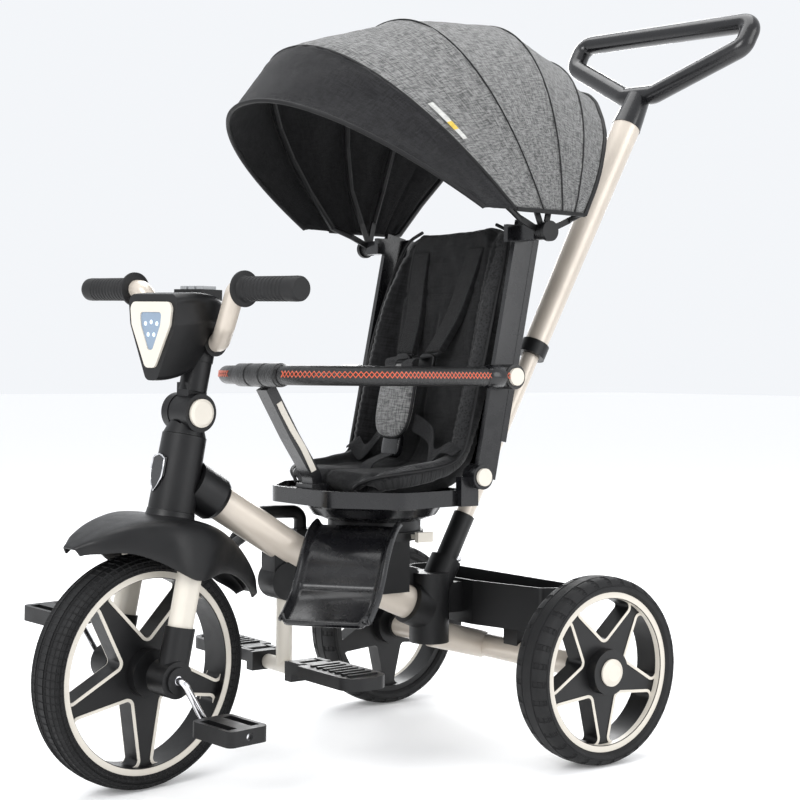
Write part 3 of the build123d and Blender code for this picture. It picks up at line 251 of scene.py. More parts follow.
# Tyres: solid foam rubber, matt black, with short cuts across both shoulders and shallow
# grooves round the sidewall. Each is one lathe-turned ring pressed on its rim.
rubber = hard_finish("tyre_rubber", (0.009, 0.009, 0.0095), 0.66, 700.0, 0.00025, 0.0, 0.0, 0.25,
                     specular=0.3)
TYRE_STEPS = 96
TYRE_PROFILE = [(-0.0240, -0.0200), (-0.0282, -0.0165), (-0.0289, -0.0120), (-0.0279, -0.0115),
                (-0.0279, -0.0100), (-0.0285, -0.0094), (-0.0262, -0.0050), (-0.0200, -0.0016),
                (-0.0105, -0.0003), (-0.0098, -0.0014), (-0.0080, -0.0014), (-0.0073, 0.0),
                (0.0073, 0.0), (0.0080, -0.0014), (0.0098, -0.0014), (0.0105, -0.0003),
                (0.0200, -0.0016), (0.0262, -0.0050), (0.0285, -0.0094), (0.0279, -0.0100),
                (0.0279, -0.0115), (0.0289, -0.0120), (0.0282, -0.0165), (0.0240, -0.0200)]


def turned_ring(name, profile, centre, radius, steps):
    """Spins an outline of (x, height over radius) points round a wheel's axis."""
    mesh = bpy.data.meshes.new(name)
    points = [(centre[0] + x, centre[1], centre[2] + radius + r) for x, r in profile]
    mesh.from_pydata(points, [(k, k + 1) for k in range(len(points) - 1)] + [(len(points) - 1, 0)], [])
    ring = bpy.data.objects.new(name, mesh)
    bpy.context.collection.objects.link(ring)
    bpy.context.view_layer.objects.active = ring
    ring.select_set(True)
    bpy.ops.object.mode_set(mode="EDIT")
    bpy.ops.mesh.select_all(action="SELECT")
    bpy.ops.mesh.spin(steps=steps, angle=2 * pi, center=centre, axis=(1, 0, 0))
    bpy.ops.mesh.select_all(action="SELECT")
    bpy.ops.mesh.remove_doubles(threshold=0.00001)
    bpy.ops.mesh.normals_make_consistent(inside=False)
    bpy.ops.object.mode_set(mode="OBJECT")
    return ring


def smooth(piece, angle=38.0):
    bpy.ops.object.select_all(action="DESELECT")
    bpy.context.view_layer.objects.active = piece
    piece.select_set(True)
    bpy.ops.object.shade_smooth_by_angle(angle=radians(angle))
    bpy.ops.object.select_all(action="DESELECT")


def cut_shoulders(tyre, centre, radius, steps):
    """Presses every third face of the two shoulder bands inwards."""
    bpy.context.view_layer.objects.active = tyre
    for face in tyre.data.polygons:
        spot = face.center - Vector(centre)
        height = hypot(spot.y, spot.z) - radius
        turn = pi + Vector((spot.y, spot.z)).angle_signed(Vector((1, 0)))
        place = round(turn / (2 * pi) * steps - 0.5)
        face.select = place % 3 == 0 and -0.0085 < height < -0.0006 and abs(spot.x) > 0.0150
    bpy.ops.object.mode_set(mode="EDIT")
    bpy.ops.mesh.select_mode(type="FACE")
    bpy.ops.mesh.inset(thickness=0.0011, depth=-0.0014, use_individual=True)
    bpy.ops.mesh.select_all(action="DESELECT")
    bpy.ops.object.mode_set(mode="OBJECT")


for name, centre, radius, body, steered in (
        ("front_tyre", (0, AXLE_Y - 0.5675, FRONT_RADIUS), FRONT_RADIUS, "front_wheel", True),
        ("rear_tyre_left", (0.247, AXLE_Y, REAR_RADIUS), REAR_RADIUS, "rear_wheel_left", False),
        ("rear_tyre_right", (-0.247, AXLE_Y, REAR_RADIUS), REAR_RADIUS, "rear_wheel_right", False)):
    tyre = turned_ring("treaded_" + name, TYRE_PROFILE, centre, radius, TYRE_STEPS)
    cut_shoulders(tyre, centre, radius, TYRE_STEPS)
    smooth(tyre)
    tyre.data.materials.append(rubber)
    if steered:
        tyre.data.transform(STEERED)
    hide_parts(name)
    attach(tyre, body)


# ---------------------------------------------------------------- mudguard
# One thin black moulding: a saddle over the front wheel with flared shoulders, a turned-down
# edge and a collar that rises to the steering head. It is screwed under the fork crown.
def between(table, at):
    """Smooth value at a place along a table of rows (place, value, value ...)."""
    if at <= table[0][0]:
        return table[0][1:]
    if at >= table[-1][0]:
        return table[-1][1:]
    k = max(i for i in range(len(table) - 1) if table[i][0] <= at)
    share = (at - table[k][0]) / (table[k + 1][0] - table[k][0])
    rows = [table[max(k - 1, 0)], table[k], table[k + 1], table[min(k + 2, len(table) - 1)]]
    values = []
    for a, b, c, d in zip(*[row[1:] for row in rows]):
        values.append(b + 0.5 * share * (c - a + share * (2 * a - 5 * b + 4 * c - d
                                                         + share * (3 * (b - c) + d - a))))
    return values


def grid_piece(name, columns, rows, shape, finish_list):
    """A flat grid whose points are moved by shape(u, v), each from 0 to 1."""
    bpy.ops.mesh.primitive_grid_add(x_subdivisions=columns, y_subdivisions=rows, size=1)
    piece = bpy.context.object
    piece.name = name
    for corner in piece.data.vertices:
        corner.co = shape(corner.co.x + 0.5, corner.co.y + 0.5)
    for finish in finish_list:
        piece.data.materials.append(finish)
    return piece


def outward(piece, point):
    """Turns the faces of an open sheet away from a point inside it."""
    bpy.context.view_layer.objects.active = piece
    face = piece.data.polygons[len(piece.data.polygons) // 2]
    if face.normal.dot(face.center - Vector(point)) < 0:
        piece.data.flip_normals()


def apply_modifier(piece, kind, **settings):
    bpy.ops.object.select_all(action="DESELECT")
    bpy.context.view_layer.objects.active = piece
    piece.select_set(True)
    modifier = piece.modifiers.new("shape", kind)
    for key, value in settings.items():
        setattr(modifier, key, value)
    bpy.ops.object.modifier_apply(modifier=modifier.name)
    bpy.ops.object.select_all(action="DESELECT")


GUARD_ROWS = [(56, 0.016, 0.012), (62, 0.034, 0.020), (70, 0.050, 0.030), (80, 0.067, 0.048),
              (90, 0.085, 0.066), (100, 0.088, 0.074), (110, 0.083, 0.068), (122, 0.065, 0.052),
              (135, 0.048, 0.036), (147, 0.034, 0.024), (155, 0.018, 0.014)]
GUARD_RADIUS = 0.2005
WHEEL_CENTRE = Vector((0, AXLE_Y - 0.5675, FRONT_RADIUS))


def mudguard_shape(u, v):
    half, drop = between(GUARD_ROWS, 56 + 99 * v)
    across = 2 * u - 1
    across = (abs(across) ** 0.75) * (1 if across > 0 else -1)
    angle = radians(56 + 99 * v)
    r = GUARD_RADIUS - drop * abs(across) ** 9
    return WHEEL_CENTRE + Vector((half * across, -r * cos(angle), r * sin(angle)))


mudguard = grid_piece("mudguard", 48, 72, mudguard_shape, [satin_black])
outward(mudguard, WHEEL_CENTRE)
apply_modifier(mudguard, "SOLIDIFY", thickness=0.003, offset=-1.0)
apply_modifier(mudguard, "BEVEL", width=0.0009, segments=2, limit_method="ANGLE", angle_limit=radians(50))
mudguard.data.transform(STEERED)
smooth(mudguard, 50)
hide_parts("fender")
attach(mudguard, "steering")


def head_point(z, ahead=0.0, x=0.0):
    """Point on the straight steering axis at a height, moved ahead and to the side."""
    return Vector((x, HEAD_POINT.y + 0.198 * (z - 0.150) - ahead, z))


def lathe(name, rings, start, direction, steps=64):
    """Round piece: rings of (distance along, radius) about a line from start."""
    direction = Vector(direction).normalized()
    mesh = bpy.data.meshes.new(name)
    points = [(r, 0.0, d) for d, r in rings]
    mesh.from_pydata(points, [(k, k + 1) for k in range(len(points) - 1)], [])
    piece = bpy.data.objects.new(name, mesh)
    bpy.context.collection.objects.link(piece)
    bpy.context.view_layer.objects.active = piece
    piece.select_set(True)
    bpy.ops.object.mode_set(mode="EDIT")
    bpy.ops.mesh.select_all(action="SELECT")
    bpy.ops.mesh.spin(steps=steps, angle=2 * pi, center=(0, 0, 0), axis=(0, 0, 1))
    bpy.ops.mesh.select_all(action="SELECT")
    bpy.ops.mesh.remove_doubles(threshold=0.00001)
    bpy.ops.mesh.normals_make_consistent(inside=False)
    bpy.ops.object.mode_set(mode="OBJECT")
    mesh.transform(Matrix.Translation(start) @ direction.to_track_quat("Z", "Y").to_matrix().to_4x4())
    return piece


collar = lathe("mudguard_collar", [(0.0, 0.0145), (0.0, 0.047), (0.004, 0.0425), (0.010, 0.0385),
                                   (0.017, 0.0345), (0.026, 0.0318), (0.0315, 0.0312),
                                   (0.0325, 0.0300), (0.0325, 0.0145), (0.0, 0.0145)],
               head_point(0.3215), HEAD_DIR)
collar.data.materials.append(satin_black)
collar.data.transform(STEERED)
smooth(collar, 30)
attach(collar, "steering")


# ---------------------------------------------------------------- grips
# Soft black rubber sleeves with a broad flange at the inner end, shallow rings and a rounded
# outer end. They are pushed over the bent bar.
grip_rubber = hard_finish("grip_rubber", (0.010, 0.010, 0.0105), 0.58, 1500.0, 0.00012, 0.0, 0.0, 0.2,
                          specular=0.3)
GRIP_RINGS = [(0.0, 0.0126), (0.0, 0.0210), (0.0012, 0.0228), (0.0040, 0.0230), (0.0056, 0.0215),
              (0.0066, 0.0172), (0.0090, 0.0158)]
for k in range(11):
    GRIP_RINGS += [(0.0140 + k * 0.0070, 0.0156), (0.0150 + k * 0.0070, 0.0147),
                   (0.0168 + k * 0.0070, 0.0147), (0.0178 + k * 0.0070, 0.0156)]
GRIP_RINGS += [(0.1020, 0.0158), (0.1075, 0.0154), (0.1102, 0.0138), (0.1110, 0.0110), (0.1110, 0.0)]
GRIP_START = (0.113, AXLE_Y - 0.505, 0.640)
for word, side in (("left", 1), ("right", -1)):
    grip = lathe("grip_" + word, GRIP_RINGS, (side * GRIP_START[0], *GRIP_START[1:]), (side, 0, 0), 48)
    grip.data.materials.append(grip_rubber)
    grip.data.transform(STEERED)
    smooth(grip, 35)
    if word == "left":
        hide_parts("grips")
    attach(grip, "handlebar")


# ---------------------------------------------------------------- lamp
# Black shell with a cream frame round a smoked clear lens; behind the lens sit five small
# white light points on a blue-grey plate.
lens_plate = hard_finish("lens_plate", (0.20, 0.27, 0.36), 0.20, 500.0, 0.00002, 0.0, 0.8, 0.06)
cover(("lamp_lens",), lens_plate)
glow = bpy.data.materials.new("light_points")
glow.use_nodes = True
glow_shader = glow.node_tree.nodes["Principled BSDF"]
glow_shader.inputs["Roughness"].default_value = 0.2
glow_tone = two_tone(glow.node_tree, noise_field(glow.node_tree, 300.0), (0.55, 0.68, 0.85),
                     (0.8, 0.9, 1.0))
glow.node_tree.links.new(glow_tone, glow_shader.inputs["Base Color"])
glow_shader.inputs["Emission Color"].default_value = (0.6, 0.8, 1.0, 1)
glow_shader.inputs["Emission Strength"].default_value = 0.25
LENS_FACE_Y = AXLE_Y - 0.5615
LIGHT_SPOTS = [(-0.012, 0.594), (0.0, 0.596), (0.012, 0.594), (-0.006, 0.580), (0.006, 0.580)]
for k, (x, z) in enumerate(LIGHT_SPOTS):
    bpy.ops.mesh.primitive_uv_sphere_add(segments=20, ring_count=10, radius=0.0030,
                                         location=(x, LENS_FACE_Y, z), scale=(1, 0.45, 1))
    bpy.ops.object.transform_apply(location=True, rotation=True, scale=True)
    point = bpy.context.object
    point.name = f"light_point_{k + 1}"
    point.data.materials.append(glow)
    point.data.transform(STEERED)
    smooth(point, 60)
    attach(point, "handlebar")


# ---------------------------------------------------------------- hood fabric
# Grey melange polyester stretched over four hoops, sewn from four panels with raised seams,
# black inside, with a black bound edge all round.
def weave(name, dark, light, thread, bump_depth, mottle=0.5, sheen=0.3, rough=0.9, flecks=(0.42, 0.58)):
    """Woven cloth on the piece's own UV map: warp and weft threads, mixed yarn colours."""
    finish = bpy.data.materials.new(name)
    finish.use_nodes = True
    tree = finish.node_tree
    shader = tree.nodes["Principled BSDF"]
    place = tree.nodes.new("ShaderNodeTexCoord")
    waves = []
    for axis in ("X", "Y"):
        wave = tree.nodes.new("ShaderNodeTexWave")
        wave.bands_direction = axis
        wave.inputs["Scale"].default_value = thread
        wave.inputs["Distortion"].default_value = 0.6
        tree.links.new(place.outputs["UV"], wave.inputs["Vector"])
        waves.append(wave.outputs["Fac"])
    cross = tree.nodes.new("ShaderNodeMath")
    cross.operation = "MULTIPLY"
    tree.links.new(waves[0], cross.inputs[0])
    tree.links.new(waves[1], cross.inputs[1])
    yarn_a = noise_field(tree, thread * 0.8, 2.0, (1.0, 0.14, 1.0), "UV")
    yarn_b = noise_field(tree, thread * 0.8, 2.0, (0.14, 1.0, 1.0), "UV")
    yarns = tree.nodes.new("ShaderNodeMath")
    yarns.operation = "ADD"
    tree.links.new(yarn_a, yarns.inputs[0])
    tree.links.new(yarn_b, yarns.inputs[1])
    half = tree.nodes.new("ShaderNodeMath")
    half.operation = "MULTIPLY"
    half.inputs[1].default_value = 0.5
    tree.links.new(yarns.outputs["Value"], half.inputs[0])
    tone = two_tone(tree, half.outputs["Value"], dark, light, flecks[0], flecks[1])
    soft = tree.nodes.new("ShaderNodeMix")
    soft.data_type = "RGBA"
    soft.blend_type = "MULTIPLY"
    soft.inputs["Factor"].default_value = mottle
    tree.links.new(tone, soft.inputs[6])
    tree.links.new(two_tone(tree, cross.outputs["Value"], (0.45, 0.45, 0.45), (1, 1, 1), 0.0, 0.6),
                   soft.inputs[7])
    tree.links.new(soft.outputs[2], shader.inputs["Base Color"])
    tree.links.new(spread(tree, noise_field(tree, 40.0), rough - 0.05, rough + 0.05),
                   shader.inputs["Roughness"])
    large = relief(tree, noise_field(tree, 22.0, 3.0), 0.0015, 0.5)
    tree.links.new(relief(tree, cross.outputs["Value"], bump_depth, 1.0, large), shader.inputs["Normal"])
    shader.inputs["Sheen Weight"].default_value = sheen
    shader.inputs["Sheen Roughness"].default_value = 0.5
    shader.inputs["Specular IOR Level"].default_value = 0.2
    return finish


melange = weave("grey_melange", (0.055, 0.056, 0.056), (0.27, 0.27, 0.265), 520.0, 0.0003, 0.35)
lining = weave("black_lining", (0.004, 0.004, 0.0045), (0.011, 0.011, 0.012), 420.0, 0.0002, sheen=0.05)
charcoal = weave("charcoal_canvas", (0.009, 0.009, 0.010), (0.018, 0.018, 0.020), 420.0, 0.0002, sheen=0.12)
piping_black = hard_finish("piping_black", (0.006, 0.006, 0.0065), 0.6, 2200.0, 0.0001, specular=0.3)

HOOD_HALF = 0.226
HOOD_AXIS = (AXLE_Y - 0.056, 0.677)
HOOD_LOW = 0.075
RIB_RADII = [(31.0, 0.417), (38.0, 0.418), (45.4, 0.4145), (58.0, 0.388), (70.6, 0.3745),
             (83.0, 0.368), (94.9, 0.366), (111.0, 0.352), (124.0, 0.345)]
HOOD_FRONT = 45.4
HOOD_REAR = 124.0
HOOD_SEAMS = (70.6, 94.9, 111.5)
VISOR_FRONT = 31.0
POWER = 2 / 2.15


def hood_point(angle, u, lift=0.0):
    """Point on the hood: angle up from the front in degrees, u from 0, left, to 1, right."""
    radius = between(RIB_RADII, angle)[0] + lift
    height = HOOD_LOW / (radius * sin(radians(angle)))
    first = asin(min(1.0, height ** (1 / POWER)))
    turn = first + (pi - 2 * first) * u
    x = (HOOD_HALF + lift) * abs(cos(turn)) ** POWER * (1 if cos(turn) > 0 else -1)
    r = radius * sin(turn) ** POWER
    return Vector((x, HOOD_AXIS[0] - r * cos(radians(angle)), HOOD_AXIS[1] + r * sin(radians(angle))))


def hood_cloth(angle, u, low_angle, high_angle):
    """The stretched cloth sinks between its seams, puckers beside them and wrinkles a little."""
    seams = [s for s in (low_angle, *HOOD_SEAMS, high_angle) if low_angle <= s <= high_angle]
    near = min(abs(angle - s) for s in seams)
    after = min((s for s in seams if s >= angle - 0.001), default=high_angle)
    before = max((s for s in seams if s <= angle + 0.001), default=low_angle)
    wide = max(after - before, 0.1)
    share = (angle - before) / wide
    edge = min(u, 1 - u)
    sink = -0.0045 * sin(pi * share) * min(1.0, edge * 6)
    ridge = 0.0012 * max(0.0, 1 - near / 0.8)
    pucker = 0.0011 * noise.noise(Vector((u * 70, near * 0.5, before))) * max(0.0, 1 - near / 7.0)
    crease = 0.0024 * noise.noise(Vector((u * 9 + angle * 0.09, angle * 0.05, 3.0)))
    fine = 0.0010 * noise.noise(Vector((u * 26 - angle * 0.16, angle * 0.22, 8.0)))
    return hood_point(angle, u, sink + ridge + pucker + crease * min(1, edge * 8 + 0.3) + fine)


def lay_map(piece, scale_u, scale_v, columns, rows):
    """UV map in metres along the cloth, from the grid's own order."""
    layer = piece.data.uv_layers.active or piece.data.uv_layers.new(name="cloth")
    for loop in piece.data.loops:
        k = loop.vertex_index
        layer.data[loop.index].uv = ((k % (columns + 1)) / columns * scale_u,
                                     (k // (columns + 1)) / rows * scale_v)


def sheet_piece(name, low_angle, high_angle, columns, rows, finishes, length, width, thick):
    piece = grid_piece(name, columns, rows,
                       lambda u, v: hood_cloth(low_angle + (high_angle - low_angle) * v, u,
                                               low_angle, high_angle), finishes)
    lay_map(piece, length, width, columns, rows)
    outward(piece, (0, HOOD_AXIS[0], HOOD_AXIS[1]))
    apply_modifier(piece, "SOLIDIFY", thickness=thick, offset=-1.0, material_offset=1,
                   material_offset_rim=1)
    bpy.ops.object.select_all(action="DESELECT")
    piece.select_set(True)
    bpy.context.view_layer.objects.active = piece
    bpy.ops.object.shade_smooth()
    bpy.ops.object.select_all(action="DESELECT")
    return piece


def welt(name, points, radius, finish, closed=False, rings=10):
    """A round bound edge that follows a row of points."""
    mesh = bpy.data.curves.new(name, "CURVE")
    mesh.dimensions = "3D"
    line = mesh.splines.new("POLY")
    line.points.add(len(points) - 1)
    for spot, place in zip(line.points, points):
        spot.co = (*place, 1)
    line.use_cyclic_u = closed
    mesh.bevel_depth = radius
    mesh.bevel_resolution = max(1, rings // 4)
    mesh.use_fill_caps = True
    piece = bpy.data.objects.new(name, mesh)
    bpy.context.collection.objects.link(piece)
    bpy.ops.object.select_all(action="DESELECT")
    bpy.context.view_layer.objects.active = piece
    piece.select_set(True)
    bpy.ops.object.convert(target="MESH")
    piece = bpy.context.object
    piece.data.materials.clear()
    piece.data.materials.append(finish)
    bpy.ops.object.shade_smooth()
    bpy.ops.object.select_all(action="DESELECT")
    return piece


HEM_RADIUS = 0.0030
hood = sheet_piece("hood_canopy", HOOD_FRONT, HOOD_REAR, 110, 96, [melange, lining], 0.95, 0.50, 0.0022)
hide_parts("hood_fabric")
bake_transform(hood)
for k, seam in enumerate(HOOD_SEAMS):
    stitch = welt(f"hood_seam_{k + 1}", [hood_point(seam, u / 60, 0.0011) for u in range(61)], 0.0011,
                  piping_black)
    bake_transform(stitch)
for word, u_side in (("left", 0.0), ("right", 1.0)):
    places = [hood_cloth(HOOD_FRONT + (HOOD_REAR - HOOD_FRONT) * k / 48, u_side, HOOD_FRONT, HOOD_REAR)
              for k in range(49)]
    hem = welt("hood_hem_" + word, places, HEM_RADIUS, piping_black)
    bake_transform(hem)
places = [hood_cloth(HOOD_REAR, k / 70, HOOD_FRONT, HOOD_REAR) for k in range(71)]
rear_hem = welt("hood_rear_hem", places, HEM_RADIUS, piping_black)
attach(rear_hem, "backrest")

# ---------------------------------------------------------------- visor
# The hood's stiff front peak: black canvas over a foam sheet, bound with black piping at its
# free edge and at the seam to the grey cloth.
visor = sheet_piece("hood_visor_cloth", VISOR_FRONT, HOOD_FRONT - 0.1, 110, 24, [charcoal, lining],
                    1.05, 0.11, 0.0028)
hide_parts("hood_visor")
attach(visor, "hood_front")
for name, angle, thick in (("visor_front_piping", VISOR_FRONT, 0.0032),
                           ("visor_rear_piping", HOOD_FRONT, 0.0022)):
    edge = welt(name, [hood_point(angle, k / 90, 0.0) for k in range(91)], thick, piping_black)
    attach(edge, "hood_front")

# ---------------------------------------------------------------- seat liner
# One padded black liner lies over the seat and up the backrest. Its sides are raised bolsters,
# the middle is woven cloth, the outer sides are open spacer mesh, and black piping binds it.
spacer = bpy.data.materials.new("spacer_mesh")
spacer.use_nodes = True
spacer_tree = spacer.node_tree
spacer_shader = spacer_tree.nodes["Principled BSDF"]
cells = spacer_tree.nodes.new("ShaderNodeTexVoronoi")
cells.inputs["Scale"].default_value = 330.0
spacer_tree.links.new(spacer_tree.nodes.new("ShaderNodeTexCoord").outputs["UV"], cells.inputs["Vector"])
spacer_tree.links.new(two_tone(spacer_tree, cells.outputs["Distance"], (0.004, 0.004, 0.004),
                               (0.022, 0.022, 0.023), 0.15, 0.55), spacer_shader.inputs["Base Color"])
spacer_tree.links.new(relief(spacer_tree, cells.outputs["Distance"], 0.0008),
                      spacer_shader.inputs["Normal"])
spacer_tree.links.new(spread(spacer_tree, noise_field(spacer_tree, 50.0), 0.75, 0.9),
                      spacer_shader.inputs["Roughness"])
spacer_shader.inputs["Sheen Weight"].default_value = 0.25
spacer_shader.inputs["Specular IOR Level"].default_value = 0.2
liner_cloth = weave("liner_cloth", (0.004, 0.004, 0.0045), (0.012, 0.012, 0.013), 420.0, 0.00025,
                    sheen=0.08)

LEAN = 0.2011
BACK_AHEAD = Vector((0, -cos(LEAN), sin(LEAN)))
# centre line of the liner's face from the top of the back to the seat's front edge:
# y from the rear axle, height, half width, bolster height
LINER_LINE = [(0.0, -0.0545, 0.7460, 0.088, 0.000), (0.012, -0.0560, 0.7390, 0.108, 0.000),
              (0.035, -0.0585, 0.7270, 0.121, 0.002), (0.10, -0.0655, 0.6920, 0.130, 0.008),
              (0.20, -0.0763, 0.6390, 0.135, 0.015), (0.30, -0.0870, 0.5870, 0.139, 0.020),
              (0.42, -0.0995, 0.5255, 0.140, 0.024), (0.53, -0.1105, 0.4710, 0.140, 0.027),
              (0.60, -0.1180, 0.4360, 0.139, 0.028), (0.65, -0.1270, 0.4130, 0.137, 0.027),
              (0.70, -0.1430, 0.3990, 0.134, 0.024), (0.76, -0.1680, 0.3935, 0.131, 0.018),
              (0.84, -0.2080, 0.3925, 0.131, 0.013), (0.91, -0.2480, 0.3925, 0.127, 0.009),
              (0.96, -0.2740, 0.3910, 0.103, 0.004), (0.99, -0.2860, 0.3850, 0.080, 0.000),
              (1.0, -0.2890, 0.3780, 0.072, 0.000)]
LINER_THICK = 0.019
LINER_COLUMNS = 72
LINER_ROWS = 150
MESH_COLUMNS = 6          # columns of open mesh at each side
BOLSTER_SEAM = 0.093
BOLSTER_OUTER = 0.128
CROSS_SEAMS = (0.470, 0.560, 0.650)
RIB_PITCH = 0.011
BACK_FOOT_Z = 0.43        # height where the seat ends and the back begins


def liner_face(s):
    """Middle of the liner's face at s and the direction it looks."""
    y0, z0 = between(LINER_LINE, max(0.0, s - 0.02))[:2]
    y1, z1 = between(LINER_LINE, min(1.0, s + 0.02))[:2]
    y, z = between(LINER_LINE, s)[:2]
    along = Vector((0, y1 - y0, z1 - z0)).normalized()
    return Vector((0, y + AXLE_Y, z)), Vector((0, along.z, -along.y))


def step_up(value, low, high):
    share = min(1.0, max(0.0, (value - low) / (high - low)))
    return share * share * (3 - 2 * share)


def liner_point(s, across, lift=0.0):
    """Point on the liner: s from the top to the front edge, across from -1 to 1."""
    middle, look = liner_face(s)
    half, bolster = between(LINER_LINE, s)[2:]
    a = abs(across)
    raised = bolster * step_up(a, 0.62, 0.84)
    rolled = 0.010 * step_up(a, 0.90, 1.08)
    return middle + Vector((half * across, 0, 0)) + look * (raised - rolled + lift)


def liner_shape(u, v):
    return liner_point(v, 2 * u - 1)


def puff(piece, cap, pressure=4.0, frames=20):
    """Blows a closed piece up a little as filled cloth and keeps each point within cap."""
    bpy.context.view_layer.objects.active = piece
    cloth = piece.modifiers.new("filled", "CLOTH")
    cloth.settings.use_pressure = True
    cloth.settings.uniform_pressure_force = pressure
    cloth.settings.effector_weights.gravity = 0.0
    cloth.settings.quality = 5
    cloth.point_cache.frame_end = frames
    for k in range(1, frames + 1):
        bpy.context.scene.frame_set(k)
    drawn = piece.evaluated_get(bpy.context.evaluated_depsgraph_get())
    places = [corner.co.copy() for corner in drawn.data.vertices]
    piece.modifiers.remove(cloth)
    for corner, place in zip(piece.data.vertices, places):
        move = place - corner.co
        corner.co += move * min(1.0, cap / max(move.length, 1e-6))
    bpy.context.scene.frame_set(1)


def groove(distance, depth, wide):
    """Depth of a rounded sewn channel at a distance from its middle."""
    return -depth * max(0.0, 1 - (distance / wide) ** 2) ** 2


liner = grid_piece("seat_liner", LINER_COLUMNS, LINER_ROWS, liner_shape, [liner_cloth, spacer])
lay_map(liner, 0.28, 0.55, LINER_COLUMNS, LINER_ROWS)
outward(liner, (0, AXLE_Y + 0.1, 0.3))
for face in liner.data.polygons:
    column = face.vertices[0] % (LINER_COLUMNS + 1)
    if column < MESH_COLUMNS or column >= LINER_COLUMNS - MESH_COLUMNS:
        face.material_index = 1
apply_modifier(liner, "SOLIDIFY", thickness=LINER_THICK, offset=-1.0, use_even_offset=True)
puff(liner, 0.006)
for corner in liner.data.vertices:
    wide = abs(corner.co.x)
    look = BACK_AHEAD if corner.co.z > BACK_FOOT_Z else Vector((0, -0.3, 0.95))
    dent = groove(abs(wide - BOLSTER_SEAM), 0.0040, 0.007)
    if wide < BOLSTER_SEAM:
        dent += groove(wide, 0.0022, 0.005) if corner.co.z < 0.62 else 0.0
        for height in CROSS_SEAMS:
            dent += groove(abs(corner.co.z - height), 0.0030, 0.006)
    elif wide < BOLSTER_OUTER and corner.co.z > BACK_FOOT_Z - 0.01:
        dent += 0.0011 * sin(corner.co.z * 2 * pi / RIB_PITCH)
    soft = 0.0030 * noise.noise(corner.co * 14) + 0.0014 * noise.noise(corner.co * 45)
    corner.co += look * (dent + soft)
apply_modifier(liner, "SUBSURF", levels=1, render_levels=1)
smooth(liner, 60)
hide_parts("seat_pad", "back_pad")
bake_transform(liner)
for word, side in (("left", 1), ("right", -1)):
    places = [liner_point(k / 80, side * 0.985, 0.001) for k in range(81)]
    bound = welt("liner_piping_" + word, places, 0.0026, piping_black)
    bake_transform(bound)

# ---------------------------------------------------------------- harness
# Black webbing: two shoulder straps from slots high in the back, with soft pads and sliders,
# a waist strap at each side, a strap between the legs, and a padded grey shield at the belly.
webbing = weave("webbing", (0.006, 0.006, 0.007), (0.018, 0.018, 0.020), 520.0, 0.0003, sheen=0.12)


def ribbon(name, spots, wide, thick, finish, rows=60):
    """A flat strap through spots of (point, direction its width runs)."""
    steps = len(spots) - 1

    def shape(u, v):
        at = min(steps - 1, int(v * steps))
        share = v * steps - at
        before, first, second, after = [spots[min(steps, max(0, at + k))] for k in (-1, 0, 1, 2)]
        bend = [0.5 * (2 * first[0][i] + (second[0][i] - before[0][i]) * share
                       + (2 * before[0][i] - 5 * first[0][i] + 4 * second[0][i] - after[0][i]) * share ** 2
                       + (3 * first[0][i] - before[0][i] - 3 * second[0][i] + after[0][i]) * share ** 3)
                for i in range(3)]
        side = Vector(first[1]).lerp(Vector(second[1]), share).normalized()
        return Vector(bend) + side * wide * (u - 0.5)

    piece = grid_piece(name, 4, rows, shape, [finish])
    lay_map(piece, wide, 0.4, 4, rows)
    apply_modifier(piece, "SOLIDIFY", thickness=thick, offset=0.0)
    smooth(piece, 40)
    return piece


def rounded_pad(name, size, finishes, power=3.2, crown=2.0):
    """A soft closed pad with a rounded outline, flat map across its width and height."""
    bpy.ops.mesh.primitive_uv_sphere_add(segments=64, ring_count=32, radius=1.0)
    piece = bpy.context.object
    piece.name = name
    for corner in piece.data.vertices:
        x, y, z = corner.co
        plan = max(1e-6, hypot(x, z))
        box = max(0.5, abs(x / plan) ** power + abs(z / plan) ** power) ** (-1 / power)
        corner.co = (x * box * size[0], (1 if y > 0 else -1) * abs(y) ** (1 / crown) * size[1],
                     z * box * size[2])
    layer = piece.data.uv_layers.active
    for loop in piece.data.loops:
        spot = piece.data.vertices[loop.vertex_index].co
        layer.data[loop.index].uv = (spot.x, spot.z)
    for finish in finishes:
        piece.data.materials.append(finish)
    smooth(piece, 60)
    return piece


def back_turn(place, tilt=LEAN, spin=0.0):
    """Matrix that stands a flat piece parallel to the back at a place."""
    return (Matrix.Translation(place) @ Matrix.Rotation(-tilt, 4, "X") @ Matrix.Rotation(spin, 4, "Y"))


